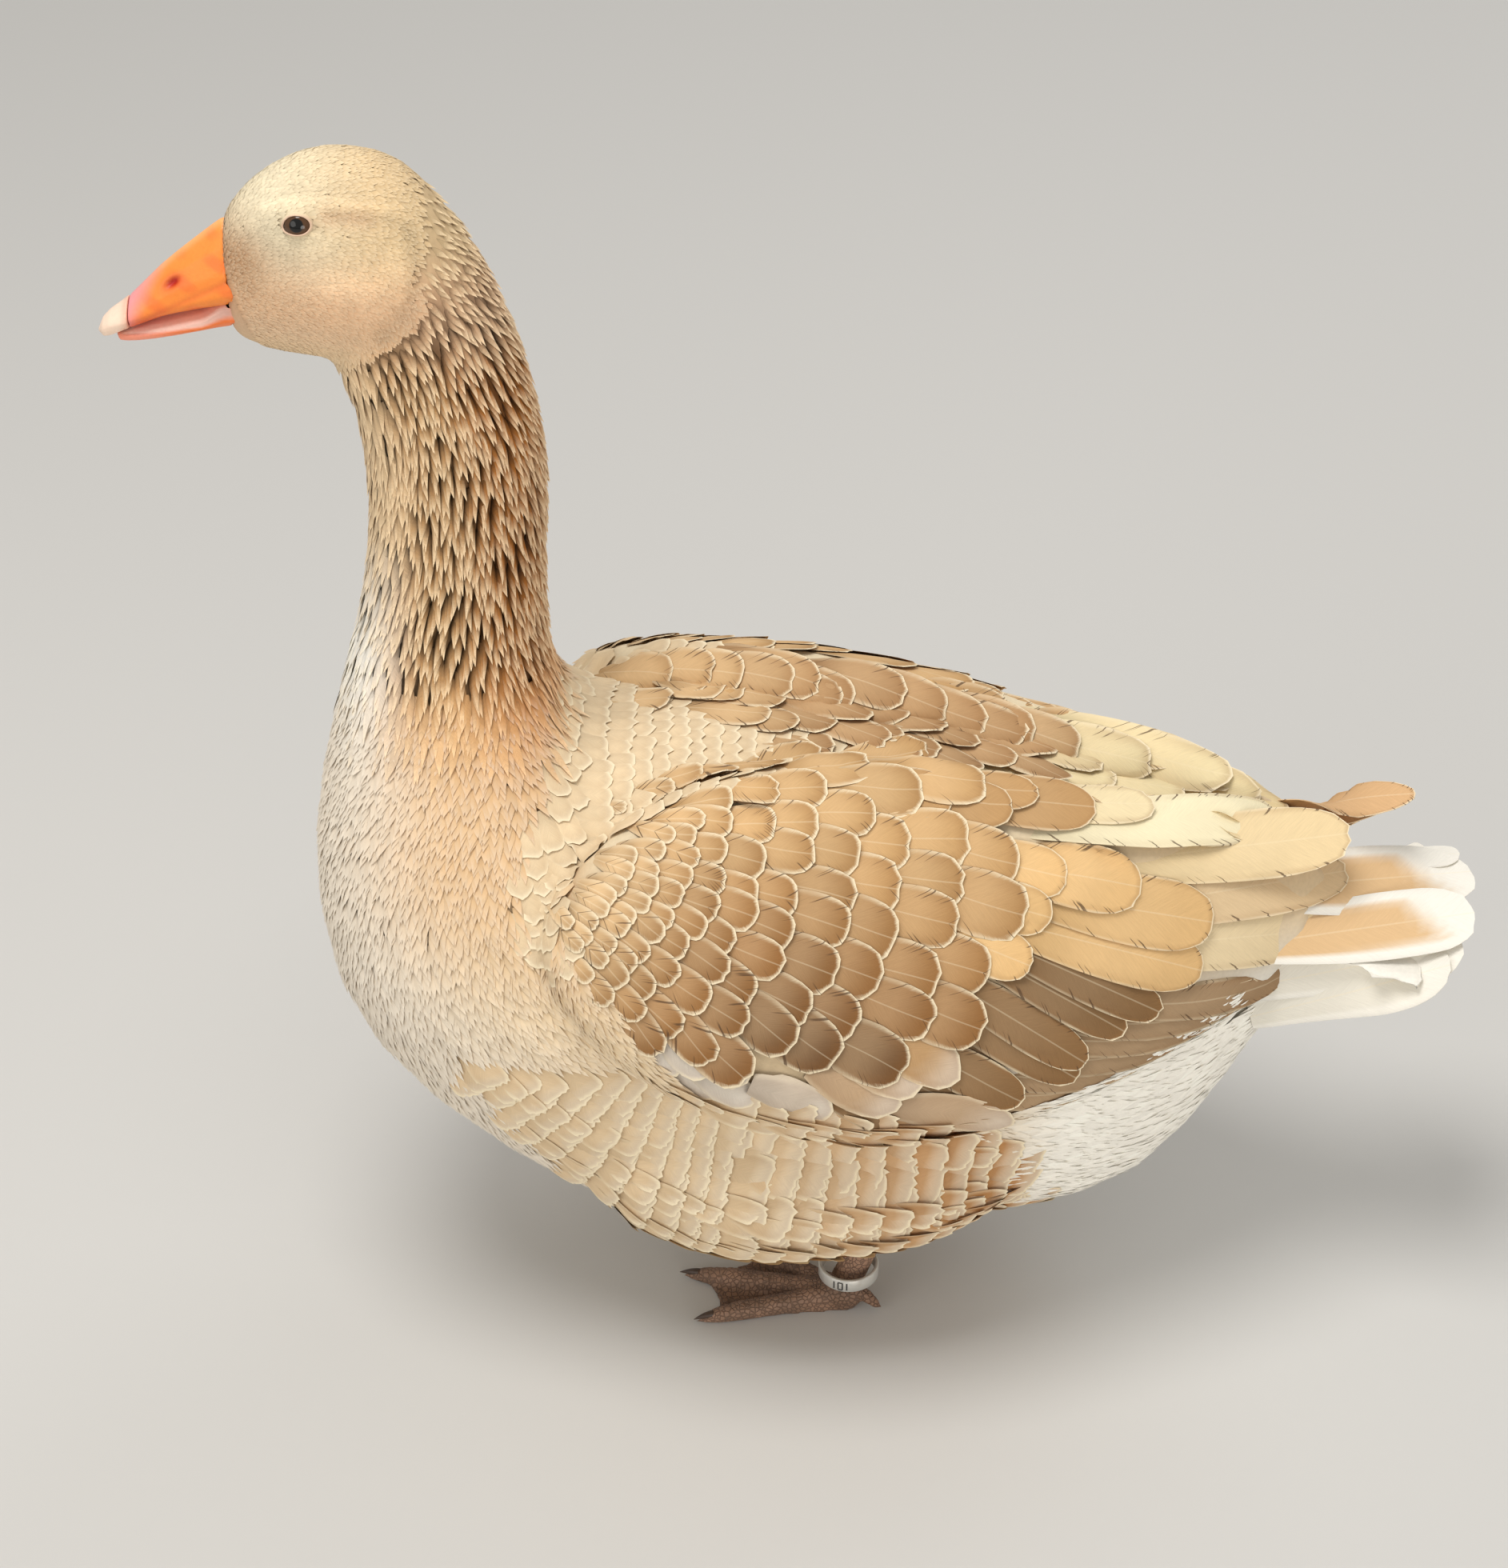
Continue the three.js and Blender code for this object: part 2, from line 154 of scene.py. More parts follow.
# ---- Materials ----
class Nodes:
    """A short way to write a material's nodes."""

    def __init__(self, name):
        self.material = bpy.data.materials.new(name)
        self.material.use_nodes = True
        self.tree = self.material.node_tree
        self.shader = self.tree.nodes["Principled BSDF"]

    def feed(self, socket, value):
        """Links an output to a socket, or sets the socket's own value."""
        if isinstance(value, bpy.types.NodeSocket):
            self.tree.links.new(value, socket)
        else:
            socket.default_value = (*value, 1.0) if socket.type == "RGBA" else value

    def node(self, kind, inputs=(), **settings):
        made = self.tree.nodes.new(kind)
        for key, value in settings.items():
            setattr(made, key, value)
        for key, value in dict(inputs).items():
            self.feed(made.inputs[key], value)
        return made

    def math(self, operation, a, b=0.0):
        return self.node("ShaderNodeMath", {0: a, 1: b, 2: 0.0}, operation=operation).outputs[0]

    def plus(self, a, b):
        return self.math("ADD", a, b)

    def minus(self, a, b):
        return self.math("SUBTRACT", a, b)

    def times(self, a, b):
        return self.math("MULTIPLY", a, b)

    def step(self, value, low, high):
        """A smooth step from 0 at low to 1 at high."""
        inputs = {"Value": value, "From Min": low, "From Max": high}
        return self.node("ShaderNodeMapRange", inputs, interpolation_type="SMOOTHSTEP").outputs[0]

    def attribute(self, name):
        return self.node("ShaderNodeAttribute", attribute_name=name).outputs

    def vector(self, x, y, z):
        return self.node("ShaderNodeCombineXYZ", {0: x, 1: y, 2: z}).outputs[0]

    def place(self):
        return self.node("ShaderNodeTexCoord").outputs["Object"]

    def noise(self, scale, detail=3.0, vector=None, rough=0.5, seed=None):
        """Noise at the place on the object, or at another vector, with a seed of its own if one is given."""
        inputs = {"Scale": scale, "Detail": detail, "Roughness": rough}
        inputs["Vector"] = self.place() if vector is None else vector
        if seed is not None:
            inputs["W"] = seed
        size = "3D" if seed is None else "4D"
        return self.node("ShaderNodeTexNoise", inputs, noise_dimensions=size).outputs["Fac"]

    def shade(self, value, depth):
        """A grey that a value from 0 to 1 moves by depth, about white."""
        level = self.plus(1.0 - depth, self.times(value, 2.0 * depth))
        return self.grey(level)

    def grey(self, value):
        return self.node("ShaderNodeCombineColor", {0: value, 1: value, 2: value}).outputs[0]

    def blend(self, share, a, b, how="MIX"):
        mixed = {0: share, 6: a, 7: b}
        return self.node("ShaderNodeMix", mixed, data_type="RGBA", blend_type=how).outputs[2]

    def finish(self, colour, roughness, bump=None, strength=0.3, distance=0.0004, **constants):
        self.feed(self.shader.inputs["Base Color"], colour)
        self.feed(self.shader.inputs["Roughness"], roughness)
        if bump is not None:
            made = self.node("ShaderNodeBump", {"Height": bump, "Strength": strength, "Distance": distance})
            self.feed(self.shader.inputs["Normal"], made.outputs[0])
        for key, value in constants.items():
            self.shader.inputs[key.replace("_", " ")].default_value = value
        return self.material


def feather_material(name, fringe, barb, shaft=0.0, slits=0.0, depth=0.3, bump=0.0005, ragged=1.4):
    """Vanes with barbs, a shaft, slits and a pale fringe, whose sizes are in millimetres. The slits are dark
    lines of painted shadow, for the shade seen through splits in the vane.
    The tone attribute gives the colour, and its alpha the strength of the fringe."""
    m = Nodes(name)
    tint = m.attribute("tone")
    strength = tint["Alpha"]
    seed = m.times(m.attribute("seed")["Fac"], 60.0)
    across, along, rim = m.node("ShaderNodeSeparateXYZ", {0: m.attribute("vane")["Vector"]}).outputs
    wide = m.math("ABSOLUTE", across)
    slant = m.minus(along, m.times(wide, 1.3))
    strands = m.noise(barb, 3.0, m.vector(slant, m.times(wide, 0.16), 0.0), 0.6, seed)
    torn = m.plus(rim, m.times(m.minus(strands, 0.5), fringe * ragged))
    pale = m.times(m.minus(1.0, m.step(torn, fringe * 0.1, fringe * 1.5)), strength)
    colour = m.blend(1.0, tint["Color"], m.shade(strands, depth), "MULTIPLY")
    inner = m.times(m.minus(1.0, m.step(rim, fringe, fringe * 4.5)), strength)
    colour = m.blend(m.times(inner, 0.34), colour, BROWN)
    colour = m.blend(pale, colour, CREAM)
    if shaft > 0:
        line = m.minus(1.0, m.step(wide, shaft * 0.4, shaft))
        colour = m.blend(m.times(line, 0.22), colour, CREAM)
    if slits > 0:
        # painted shadow: dark lines near the edge stand for the shade seen through splits in the vane
        lines = m.vector(slant, m.times(wide, 0.03), 0.0)
        slit_shadow = m.step(m.noise(barb * 0.5, 1.0, lines, 0.3, m.plus(seed, 7.0)), 0.63, 0.67)
        near = m.minus(1.0, m.step(rim, slits * 0.6, slits))
        colour = m.blend(m.times(m.times(slit_shadow, near), 0.8), colour, DARK)
    return m.finish(colour, roughness=0.75, bump=strands, strength=0.4, distance=bump, Specular_IOR_Level=0.2)


def tinted_material(name, scale, depth, roughness, bump):
    """A material whose colour comes from the tone attribute, broken up by fine noise."""
    m = Nodes(name)
    fine = m.noise(scale=scale, detail=4.0)
    colour = m.blend(1.0, m.attribute("tone")["Color"], m.shade(fine, depth), "MULTIPLY")
    return m.finish(colour, roughness=roughness, bump=fine, strength=0.5, distance=bump)


# ---- Meshes ----
def read(items, key, kind=float):
    """One property of all of a mesh's items, which is three numbers for each."""
    values = np.empty(len(items) * 3, dtype=kind)
    items.foreach_get(key, values)
    return values.reshape(-1, 3)


def mesh_arrays(mesh):
    """A mesh's vertices in metres and its triangles."""
    mesh.calc_loop_triangles()
    return read(mesh.vertices, "co"), read(mesh.loop_triangles, "vertices", np.int32)


def node_arrays(*names):
    """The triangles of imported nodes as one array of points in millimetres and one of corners."""
    parts, faces, count = [], [], 0
    for name in names:
        verts, tris = mesh_arrays(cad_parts[name].data)
        keys, index = np.unique(np.round(verts / MM, 3), axis=0, return_inverse=True)
        parts.append(keys)
        faces.append(index.ravel()[tris] + count)
        count += len(keys)
    return np.concatenate(parts), np.concatenate(faces)


def vertex_normals(verts, tris):
    a, b, c = (verts[tris[:, i]] for i in range(3))
    corner = np.cross(b - a, c - a)
    normals = np.zeros_like(verts)
    for i in range(3):
        np.add.at(normals, tris[:, i], corner)
    return unit(normals)


def grown(verts, tris, height):
    """The vertices moved out along their normals."""
    return verts + vertex_normals(verts, tris) * height


def new_object(name, verts, faces):
    """A mesh object from arrays: verts in millimetres, faces of one size."""
    mesh = bpy.data.meshes.new(name)
    size = faces.shape[1]
    mesh.vertices.add(len(verts))
    mesh.vertices.foreach_set("co", (np.asarray(verts) * MM).ravel())
    mesh.loops.add(faces.size)
    mesh.loops.foreach_set("vertex_index", faces.ravel().astype(np.int32))
    mesh.polygons.add(len(faces))
    mesh.polygons.foreach_set("loop_start", np.arange(len(faces), dtype=np.int32) * size)
    mesh.polygons.foreach_set("use_smooth", np.ones(len(faces), dtype=bool))
    mesh.update(calc_edges=True)
    return linked(bpy.data.objects.new(name, mesh))


# numbers at each vertex, the attribute's type and the name of its values
KINDS = {1: ("FLOAT", "value"), 3: ("FLOAT_VECTOR", "vector"), 4: ("FLOAT_COLOR", "color")}


def add_attribute(mesh, name, values):
    kind, key = KINDS[values.shape[1] if values.ndim > 1 else 1]
    mesh.attributes.new(name, kind, "POINT").data.foreach_set(key, values.ravel())


def dressed(thing, material, replaces=()):
    """Gives a piece its material and body, and hides the nodes that it replaces."""
    thing.data.materials.append(material)
    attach(thing, "root")
    if replaces:
        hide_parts(*replaces)


def piece(name, verts, faces, material, replaces=(), tones=None, reach=None):
    """A piece that is not a coat."""
    thing = new_object(name, verts, faces)
    if reach is not None:
        add_attribute(thing.data, "reach", reach)
    if tones is not None:
        alpha = np.ones((len(tones), 1))
        add_attribute(thing.data, "tone", np.concatenate([np.clip(tones, 0, 1), alpha], 1))
    dressed(thing, material, replaces)


def remeshed(verts, tris, voxel, smoothing):
    """The same form as one even, smooth mesh."""
    thing = new_object("form", verts, tris)
    remesh = thing.modifiers.new("remesh", "REMESH")
    remesh.mode, remesh.voxel_size = "VOXEL", voxel * MM
    smooth = thing.modifiers.new("smooth", "SMOOTH")
    smooth.factor, smooth.iterations = 0.5, smoothing
    graph = bpy.context.evaluated_depsgraph_get()
    shaped = bpy.data.meshes.new_from_object(thing.evaluated_get(graph))
    points, corners = mesh_arrays(shaped)
    bpy.data.objects.remove(thing)
    bpy.data.meshes.remove(shaped)
    return points / MM, corners


class Surface:
    """A triangle mesh that can be asked for its nearest point or the point a ray meets."""

    def __init__(self, verts, tris):
        self.verts, self.tris = verts, tris
        self.normals = vertex_normals(verts, tris)
        self.tree = BVHTree.FromPolygons(verts.tolist(), tris.tolist())

    def shaded(self, points, index):
        """The smooth normals at points on the triangles of that index."""
        a, b, c = (self.verts[self.tris[index, i]] for i in range(3))
        v0, v1, v2 = b - a, c - a, points - a
        d00, d01, d11 = (v0 * v0).sum(-1), (v0 * v1).sum(-1), (v1 * v1).sum(-1)
        d20, d21 = (v2 * v0).sum(-1), (v2 * v1).sum(-1)
        area = np.maximum(d00 * d11 - d01 * d01, 1e-12)
        v = (d11 * d20 - d01 * d21) / area
        w = (d00 * d21 - d01 * d20) / area
        weight = np.stack([1.0 - v - w, v, w], -1)[..., None]
        return unit((self.normals[self.tris[index]] * weight).sum(-2))

    def nearest(self, points):
        flat = np.asarray(points, float).reshape(-1, 3)
        hits = [self.tree.find_nearest(p) for p in flat.tolist()]
        at = np.array([h[0][:] for h in hits])
        normals = self.shaded(at, np.array([h[2] for h in hits]))
        return at.reshape(np.shape(points)), normals.reshape(np.shape(points))

    def cast(self, origins, directions):
        """The point and normal where each ray meets the surface, and which rays do."""
        hits = [self.tree.ray_cast(o, d) for o, d in zip(origins.tolist(), directions.tolist())]
        found = np.array([h[0] is not None for h in hits])
        at = np.array([h[0][:] if h[0] is not None else (0.0, 0.0, 0.0) for h in hits])
        normals = self.shaded(at, np.array([h[2] if h[0] is not None else 0 for h in hits]))
        return at, normals, found


# ---- The line through the body, and rows of feather roots round it ----
# (y, z) from the tail, through the trunk, up the neck and forwards to the bill
SPINE = [
    (262, 219), (214, 203), (156, 176), (110, 174), (60, 178), (5, 180), (-50, 186), (-98, 194),
    (-128, 212), (-150, 236), (-163, 262), (-170, 290), (-170, 318), (-169, 350), (-168, 380),
    (-166, 410), (-165, 440), (-166, 470), (-170, 495), (-176, 516), (-185, 536), (-200, 550),
    (-222, 556), (-245, 554), (-259, 550),
]
TAIL_LINE = [(312, 205), (280, 210), (230, 214), (180, 212)]
BACK_LINE = [(262, 215), (160, 212), (60, 210), (-40, 210), (-150, 210)]
CURVE_STEPS = 20
SMOOTHING_PASSES = 40
ANGLES_ROUND = 96
FEWEST_ROUND = 6


def smooth_line(points, step):
    """Evenly spaced points of a Catmull-Rom curve through the given ones."""
    p = np.array(points, float)
    p = np.concatenate([2 * p[:1] - p[1:2], p, 2 * p[-1:] - p[-2:-1]])
    t = np.linspace(0.0, 1.0, CURVE_STEPS, endpoint=False)[:, None]
    pieces = []
    for a, b, c, d in zip(p[:-3], p[1:-2], p[2:-1], p[3:]):
        bend = (2 * a - 5 * b + 4 * c - d) * t**2 + (3 * b - a - 3 * c + d) * t**3
        pieces.append(0.5 * (2 * b + (c - a) * t + bend))
    line = np.concatenate(pieces + [p[-2:-1]])
    reach = reaches(line)
    even = np.arange(0.0, reach[-1], step)
    return np.stack([np.interp(even, reach, line[:, i]) for i in range(p.shape[1])], 1)


def reaches(line):
    """The length along a line at each of its points."""
    return np.concatenate([[0.0], np.cumsum(np.linalg.norm(np.diff(line, axis=0), axis=1))])


class Line:
    """A line through the body in the plane of symmetry, measured in millimetres from its tail end."""

    def __init__(self, points):
        self.yz = smooth_line(points, 1.0)
        way = np.gradient(self.yz, axis=0)
        for _ in range(SMOOTHING_PASSES):
            way[1:-1] = (way[:-2] + way[1:-1] + way[2:]) / 3.0
        self.way = unit(way)
        self.end = len(self.yz) - 1

    def frame(self, s):
        """The line's point, its direction towards the bill, and the direction of the back, at length s."""
        index = np.clip(np.round(np.asarray(s)).astype(int), 0, self.end)
        y, z = self.yz[index].T
        ty, tz = self.way[index].T
        none = np.zeros_like(y)
        return np.stack([none, y, z], -1), np.stack([none, ty, tz], -1), np.stack([none, tz, -ty], -1)

    def length(self, y, z):
        """The length along the line of its point nearest to (y, z)."""
        return float(np.argmin(((self.yz - (y, z)) ** 2).sum(1)))


spine, tail_line, back_line = Line(SPINE), Line(TAIL_LINE), Line(BACK_LINE)
NECK_BASE = spine.length(-169, 350)
NECK_TOP = spine.length(-178, 520)
SHOULDER_LENGTH = spine.length(-20, 183)


def body_place(points):
    """For points of the coat: the length along the spine, and the angle round it, 90 degrees at the back."""
    cell, most = 1.5, 2000
    unique, back = np.unique(np.round(points[:, 1:] / cell), axis=0, return_inverse=True)
    chunks = np.array_split(unique * cell, len(unique) // most + 1)
    near = [np.argmin(((part[:, None] - spine.yz[None]) ** 2).sum(-1), 1) for part in chunks]
    near = np.concatenate(near)[back.ravel()]
    centre, _, up = spine.frame(near)
    return near.astype(float), np.arctan2(((points - centre) * up).sum(-1), points[:, 0])


def rows(surface, start, end, along, across, keep, stagger=0.5, jitter=0.18, spacing=0.62, count=None,
         wander=0.0, line=spine):
    """Roots of feathers in staggered rows round a line, from length start to end.
    keep(point, angle) says which are wanted. Gives their points, lies, angles and lengths."""
    lengths = np.arange(start, end, along)
    angles = np.linspace(-math.pi, math.pi, ANGLES_ROUND, endpoint=False)
    centre, ways, back = line.frame(lengths)
    out = np.sin(angles)[None, :, None] * back[:, None]
    out[..., 0] += np.cos(angles)[None]
    at, _, found = surface.cast(np.repeat(centre, ANGLES_ROUND, 0), out.reshape(-1, 3))
    at, found = at.reshape(out.shape), found.reshape(out.shape[:2])
    wrapped = np.append(angles, math.pi)
    roots = []
    for i, length in enumerate(lengths):
        if not found[i].all():
            continue
        loop = np.concatenate([at[i], at[i][:1]])
        reach = reaches(loop)
        number = count or max(int(reach[-1] / across), FEWEST_ROUND)
        spots = np.arange(number) + stagger * (i % 2) + RNG.uniform(-jitter, jitter, number)
        # sideways waves that turn upright ridges into wandering ones
        spots = spots + wander * np.sin(length / 12.0 + 1.6 * np.sin(spots * 0.5))
        spots = spots + 0.3 * wander * np.sin(length / 4.3 + 2.1 * np.sin(spots * 0.8))
        spots = (spots / number % 1.0) * reach[-1]
        points = np.stack([np.interp(spots, reach, loop[:, k]) for k in range(3)], 1)
        lies = np.repeat(-ways[i][None], number, 0)
        roots.append((points, lies, np.interp(spots, reach, wrapped), np.full(number, length)))
    points, lies, turns, places = (np.concatenate(v) for v in zip(*roots))
    points = points + lies * RNG.uniform(-1.0, 1.0, (len(points), 1)) * min(jitter, 0.2) * along
    wanted = np.flatnonzero(keep(points, turns))
    kept = wanted[thinned(points[wanted], spacing * min(along, across))]
    return points[kept], lies[kept], turns[kept], places[kept]


def thinned(points, least):
    """Indices of points that keep at least that distance, in their given order."""
    cells, kept = {}, []
    limit = least * least
    around = [(i, j, k) for i in (-1, 0, 1) for j in (-1, 0, 1) for k in (-1, 0, 1)]
    keys = np.floor(points / least).astype(int).tolist()
    for index, (key, p) in enumerate(zip(keys, points.tolist())):
        near = (q for i, j, k in around for q in cells.get((key[0] + i, key[1] + j, key[2] + k), ()))
        if all((p[0] - q[0]) ** 2 + (p[1] - q[1]) ** 2 + (p[2] - q[2]) ** 2 >= limit for q in near):
            cells.setdefault(tuple(key), []).append(p)
            kept.append(index)
    return np.array(kept, dtype=int)


# ---- The side view, in which the wing's feathers are placed ----
# A place in it is (y, d): y along the goose, d down the view, both in millimetres at the wing.
VIEW_DEPTH = 1786.4


def view_rays(y, d, side):
    """Where rays start and which way they go through places of the side view of the left or right side."""
    y, d = np.broadcast_arrays(np.asarray(y, float), np.asarray(d, float))
    way = LOOK * VIEW_DEPTH + d[..., None] * FALL
    way[..., 1] += y - CAMERA_AT[1]
    flip = np.array([side, 1.0, 1.0])
    return np.broadcast_to(CAMERA_AT * flip, way.shape), unit(way) * flip


def seen_at(rays):
    """The place in the side view that rays from the eye go through."""
    scale = VIEW_DEPTH / (rays @ LOOK)
    return rays[..., 1] * scale + CAMERA_AT[1], (rays @ FALL) * scale


def view_place(points):
    """The place in the side view of points, each seen from its own side."""
    left = np.concatenate([np.abs(points[:, :1]), points[:, 1:]], 1)
    return seen_at(left - CAMERA_AT)


def inside(outline, y, d):
    """Which places lie inside a closed outline."""
    result = np.zeros(len(y), dtype=bool)
    for (y0, d0), (y1, d1) in zip(outline, outline[1:] + outline[:1]):
        crosses = (d0 > d) != (d1 > d)
        with np.errstate(divide="ignore", invalid="ignore"):
            result ^= crosses & (y < (y1 - y0) * (d - d0) / (d1 - d0 if d1 != d0 else 1e-9) + y0)
    return result


# ---- Feathers ----
STATIONS = 5
RUNG_POWER = 1.35
LIFT_POWER = 0.8
MOST_STRETCH = 1.45


def spread_weights(count):
    """Weights that turn values at a few stations into a smooth run of count values."""
    weights = np.zeros((count, STATIONS))
    for row, x in enumerate(np.linspace(0.0, STATIONS - 1.0, count)):
        i = min(int(x), STATIONS - 2)
        t = x - i
        cubic = (-t + 2 * t**2 - t**3, 2 - 5 * t**2 + 3 * t**3, t + 4 * t**2 - 3 * t**3, t**3 - t**2)
        for offset, value in zip((-1, 0, 1, 2), cubic):
            weights[row, min(max(i + offset, 0), STATIONS - 1)] += value / 2
    return weights


class Shape:
    """A feather's grid: columns across it, each ending on the outline of the tip, and stations along them."""

    def __init__(self, along, across, widest=0.6, point=2.0, root=0.3, jag=0.0):
        self.rung = 1.0 - (1.0 - np.linspace(0.0, 1.0, along)) ** RUNG_POWER
        self.s = np.sin(np.linspace(-0.5, 0.5, across) * math.pi)
        self.jag = jag
        tip = np.clip(1.0 - np.abs(self.s) ** point, 0.0, 1.0) ** (1.0 / point)
        self.ends = widest + (1.0 - widest) * tip
        self.t = self.rung[:, None] * self.ends
        self.weights = spread_weights(201)[np.round(self.t * 200).astype(int)]
        swell = np.sin(np.clip(self.t / widest, 0.0, 1.0) * math.pi / 2)
        self.half = 0.5 * (root + (1.0 - root) * swell)


def laid(surface, roots, lie, length, bow=0.0):
    """The axes of feathers laid along the surface from their roots: points and normals at the stations."""
    base, normal = surface.nearest(roots)
    lie = unit(lie - (lie * normal).sum(-1, keepdims=True) * normal)
    across = np.cross(normal, lie)
    share = np.linspace(0, 1, STATIONS)
    reach = np.broadcast_to(np.asarray(length, float), (len(roots),))[:, None] * share
    aside = np.broadcast_to(np.asarray(bow, float), (len(roots),))[:, None] * reach * share
    axis = base[:, None] + lie[:, None] * reach[..., None] + across[:, None] * aside[..., None]
    return surface.nearest(axis)


def laid_in_view(surface, side, table, bend, least=0.1):
    """The axes of the feathers of a table, whose rows are y and d of the tips in the side view, angles in
    degrees below level, and lengths. Those that face the view less than least are left out, and the
    last result says which are kept."""
    y, d, angle, length = (v[:, None] for v in table[:4])
    back = np.linspace(1.0, 0.0, STATIONS)[None]
    turn = np.radians(angle - np.reshape(bend, (-1, 1)) * back)
    ys = y - length * back * np.cos(turn)
    ds = d - length * back * np.sin(turn)
    origins, ways = view_rays(ys, ds, side)
    at, normals, found = surface.cast(origins.reshape(-1, 3), ways.reshape(-1, 3))
    at, normals, found = at.reshape(origins.shape), normals.reshape(origins.shape), found.reshape(ys.shape)
    depth = np.linalg.norm(at - origins, axis=-1)
    for i in np.flatnonzero(found.any(1) & ~found.all(1)):
        good, missing = np.flatnonzero(found[i]), np.flatnonzero(~found[i])
        near = good[np.abs(missing[:, None] - good[None]).argmin(1)]
        at[i, missing] = origins[i, missing] + ways[i, missing] * depth[i, near][:, None]
        normals[i, missing] = normals[i, near]
    run = np.linalg.norm(np.diff(at, axis=1), axis=-1).sum(1)
    kept = found.any(1) & (run < MOST_STRETCH * length[:, 0])
    kept &= -(normals * ways).sum(-1).mean(1) > least
    # each axis is evened out into the parabola nearest to it
    powers = np.vander(np.linspace(0.0, 1.0, STATIONS), 3)
    even = powers @ np.linalg.pinv(powers)
    return even @ at[kept], unit(even @ normals[kept]), kept


def spread_out(value, count):
    """One value, or one for each of count feathers, shaped to meet grids of stations and columns."""
    return np.broadcast_to(np.asarray(value, float), (count,))[:, None, None]


def between(count, parts):
    """Weights that put parts - 1 new rows between each two of count rows."""
    places = np.linspace(0.0, count - 1.0, (count - 1) * parts + 1)
    return np.maximum(1.0 - np.abs(places[:, None] - np.arange(count)), 0.0)


class Drape:
    """The nearest of the feathers laid so far in a side view, so that the next ones are laid over them."""

    # the view's first corner, the size of a cell and the number of cells each way
    START = (-230.0, -110.0)
    CELL = 1.4
    SIZE = (400, 286)
    # a feather that would have to rise further stays where it is
    MOST_RISE = 7.0
    # how much of a vertex's rise its neighbours share, and how many vertices away that reaches
    SPREAD, SPREAD_STEPS = 0.85, 4
    LEAST_FACING = 0.2
    NOTHING_BELOW = 100.0

    def __init__(self, side, other=None):
        self.flip = np.array([side, 1.0, 1.0])
        self.drapes = (self, other) if other else (self,)
        self.near = np.full(self.SIZE, np.inf)

    def cells(self, points):
        """The cell of the view that each point falls in, and its distance from the eye."""
        ray = points * self.flip - CAMERA_AT
        places = [((v - start) / self.CELL).astype(int) for v, start in zip(seen_at(ray), self.START)]
        row, column = (np.clip(v, 0, size - 1) for v, size in zip(places, self.SIZE))
        return row, column, np.linalg.norm(ray, axis=-1)

    def cover(self, grid):
        """Adds a feather, a grid of vertices, to those laid."""
        parts = [int(np.linalg.norm(np.diff(grid, axis=i), axis=-1).max() / self.CELL) + 1 for i in (0, 1)]
        dense = np.tensordot(between(len(grid), parts[0]), grid, 1)
        dense = np.tensordot(between(grid.shape[1], parts[1]), dense, (1, 1))
        for drape in self.drapes:
            row, column, away = drape.cells(dense)
            np.minimum.at(drape.near, (row.ravel(), column.ravel()), away.ravel())

    def lay(self, grid, up, clear):
        """Lifts a feather clear of those below it, and adds it to them."""
        row, column, away = self.cells(grid)
        facing = -(unit(grid * self.flip - CAMERA_AT) * self.flip * up).sum(-1)
        depth = away - np.minimum(self.near[row, column], away + self.NOTHING_BELOW)
        rise = depth * np.clip(facing, self.LEAST_FACING, 1.0) + clear
        rise = np.where(rise < self.MOST_RISE, np.maximum(rise, 0.0), 0.0)
        for _ in range(self.SPREAD_STEPS):
            wide = np.pad(rise, 1, mode="edge")
            beside = [wide[:-2, 1:-1], wide[2:, 1:-1], wide[1:-1, :-2], wide[1:-1, 2:]]
            rise = np.maximum(rise, self.SPREAD * np.max(beside, axis=0))
        lifted = grid + up * rise[..., None]
        self.cover(lifted)
        return lifted


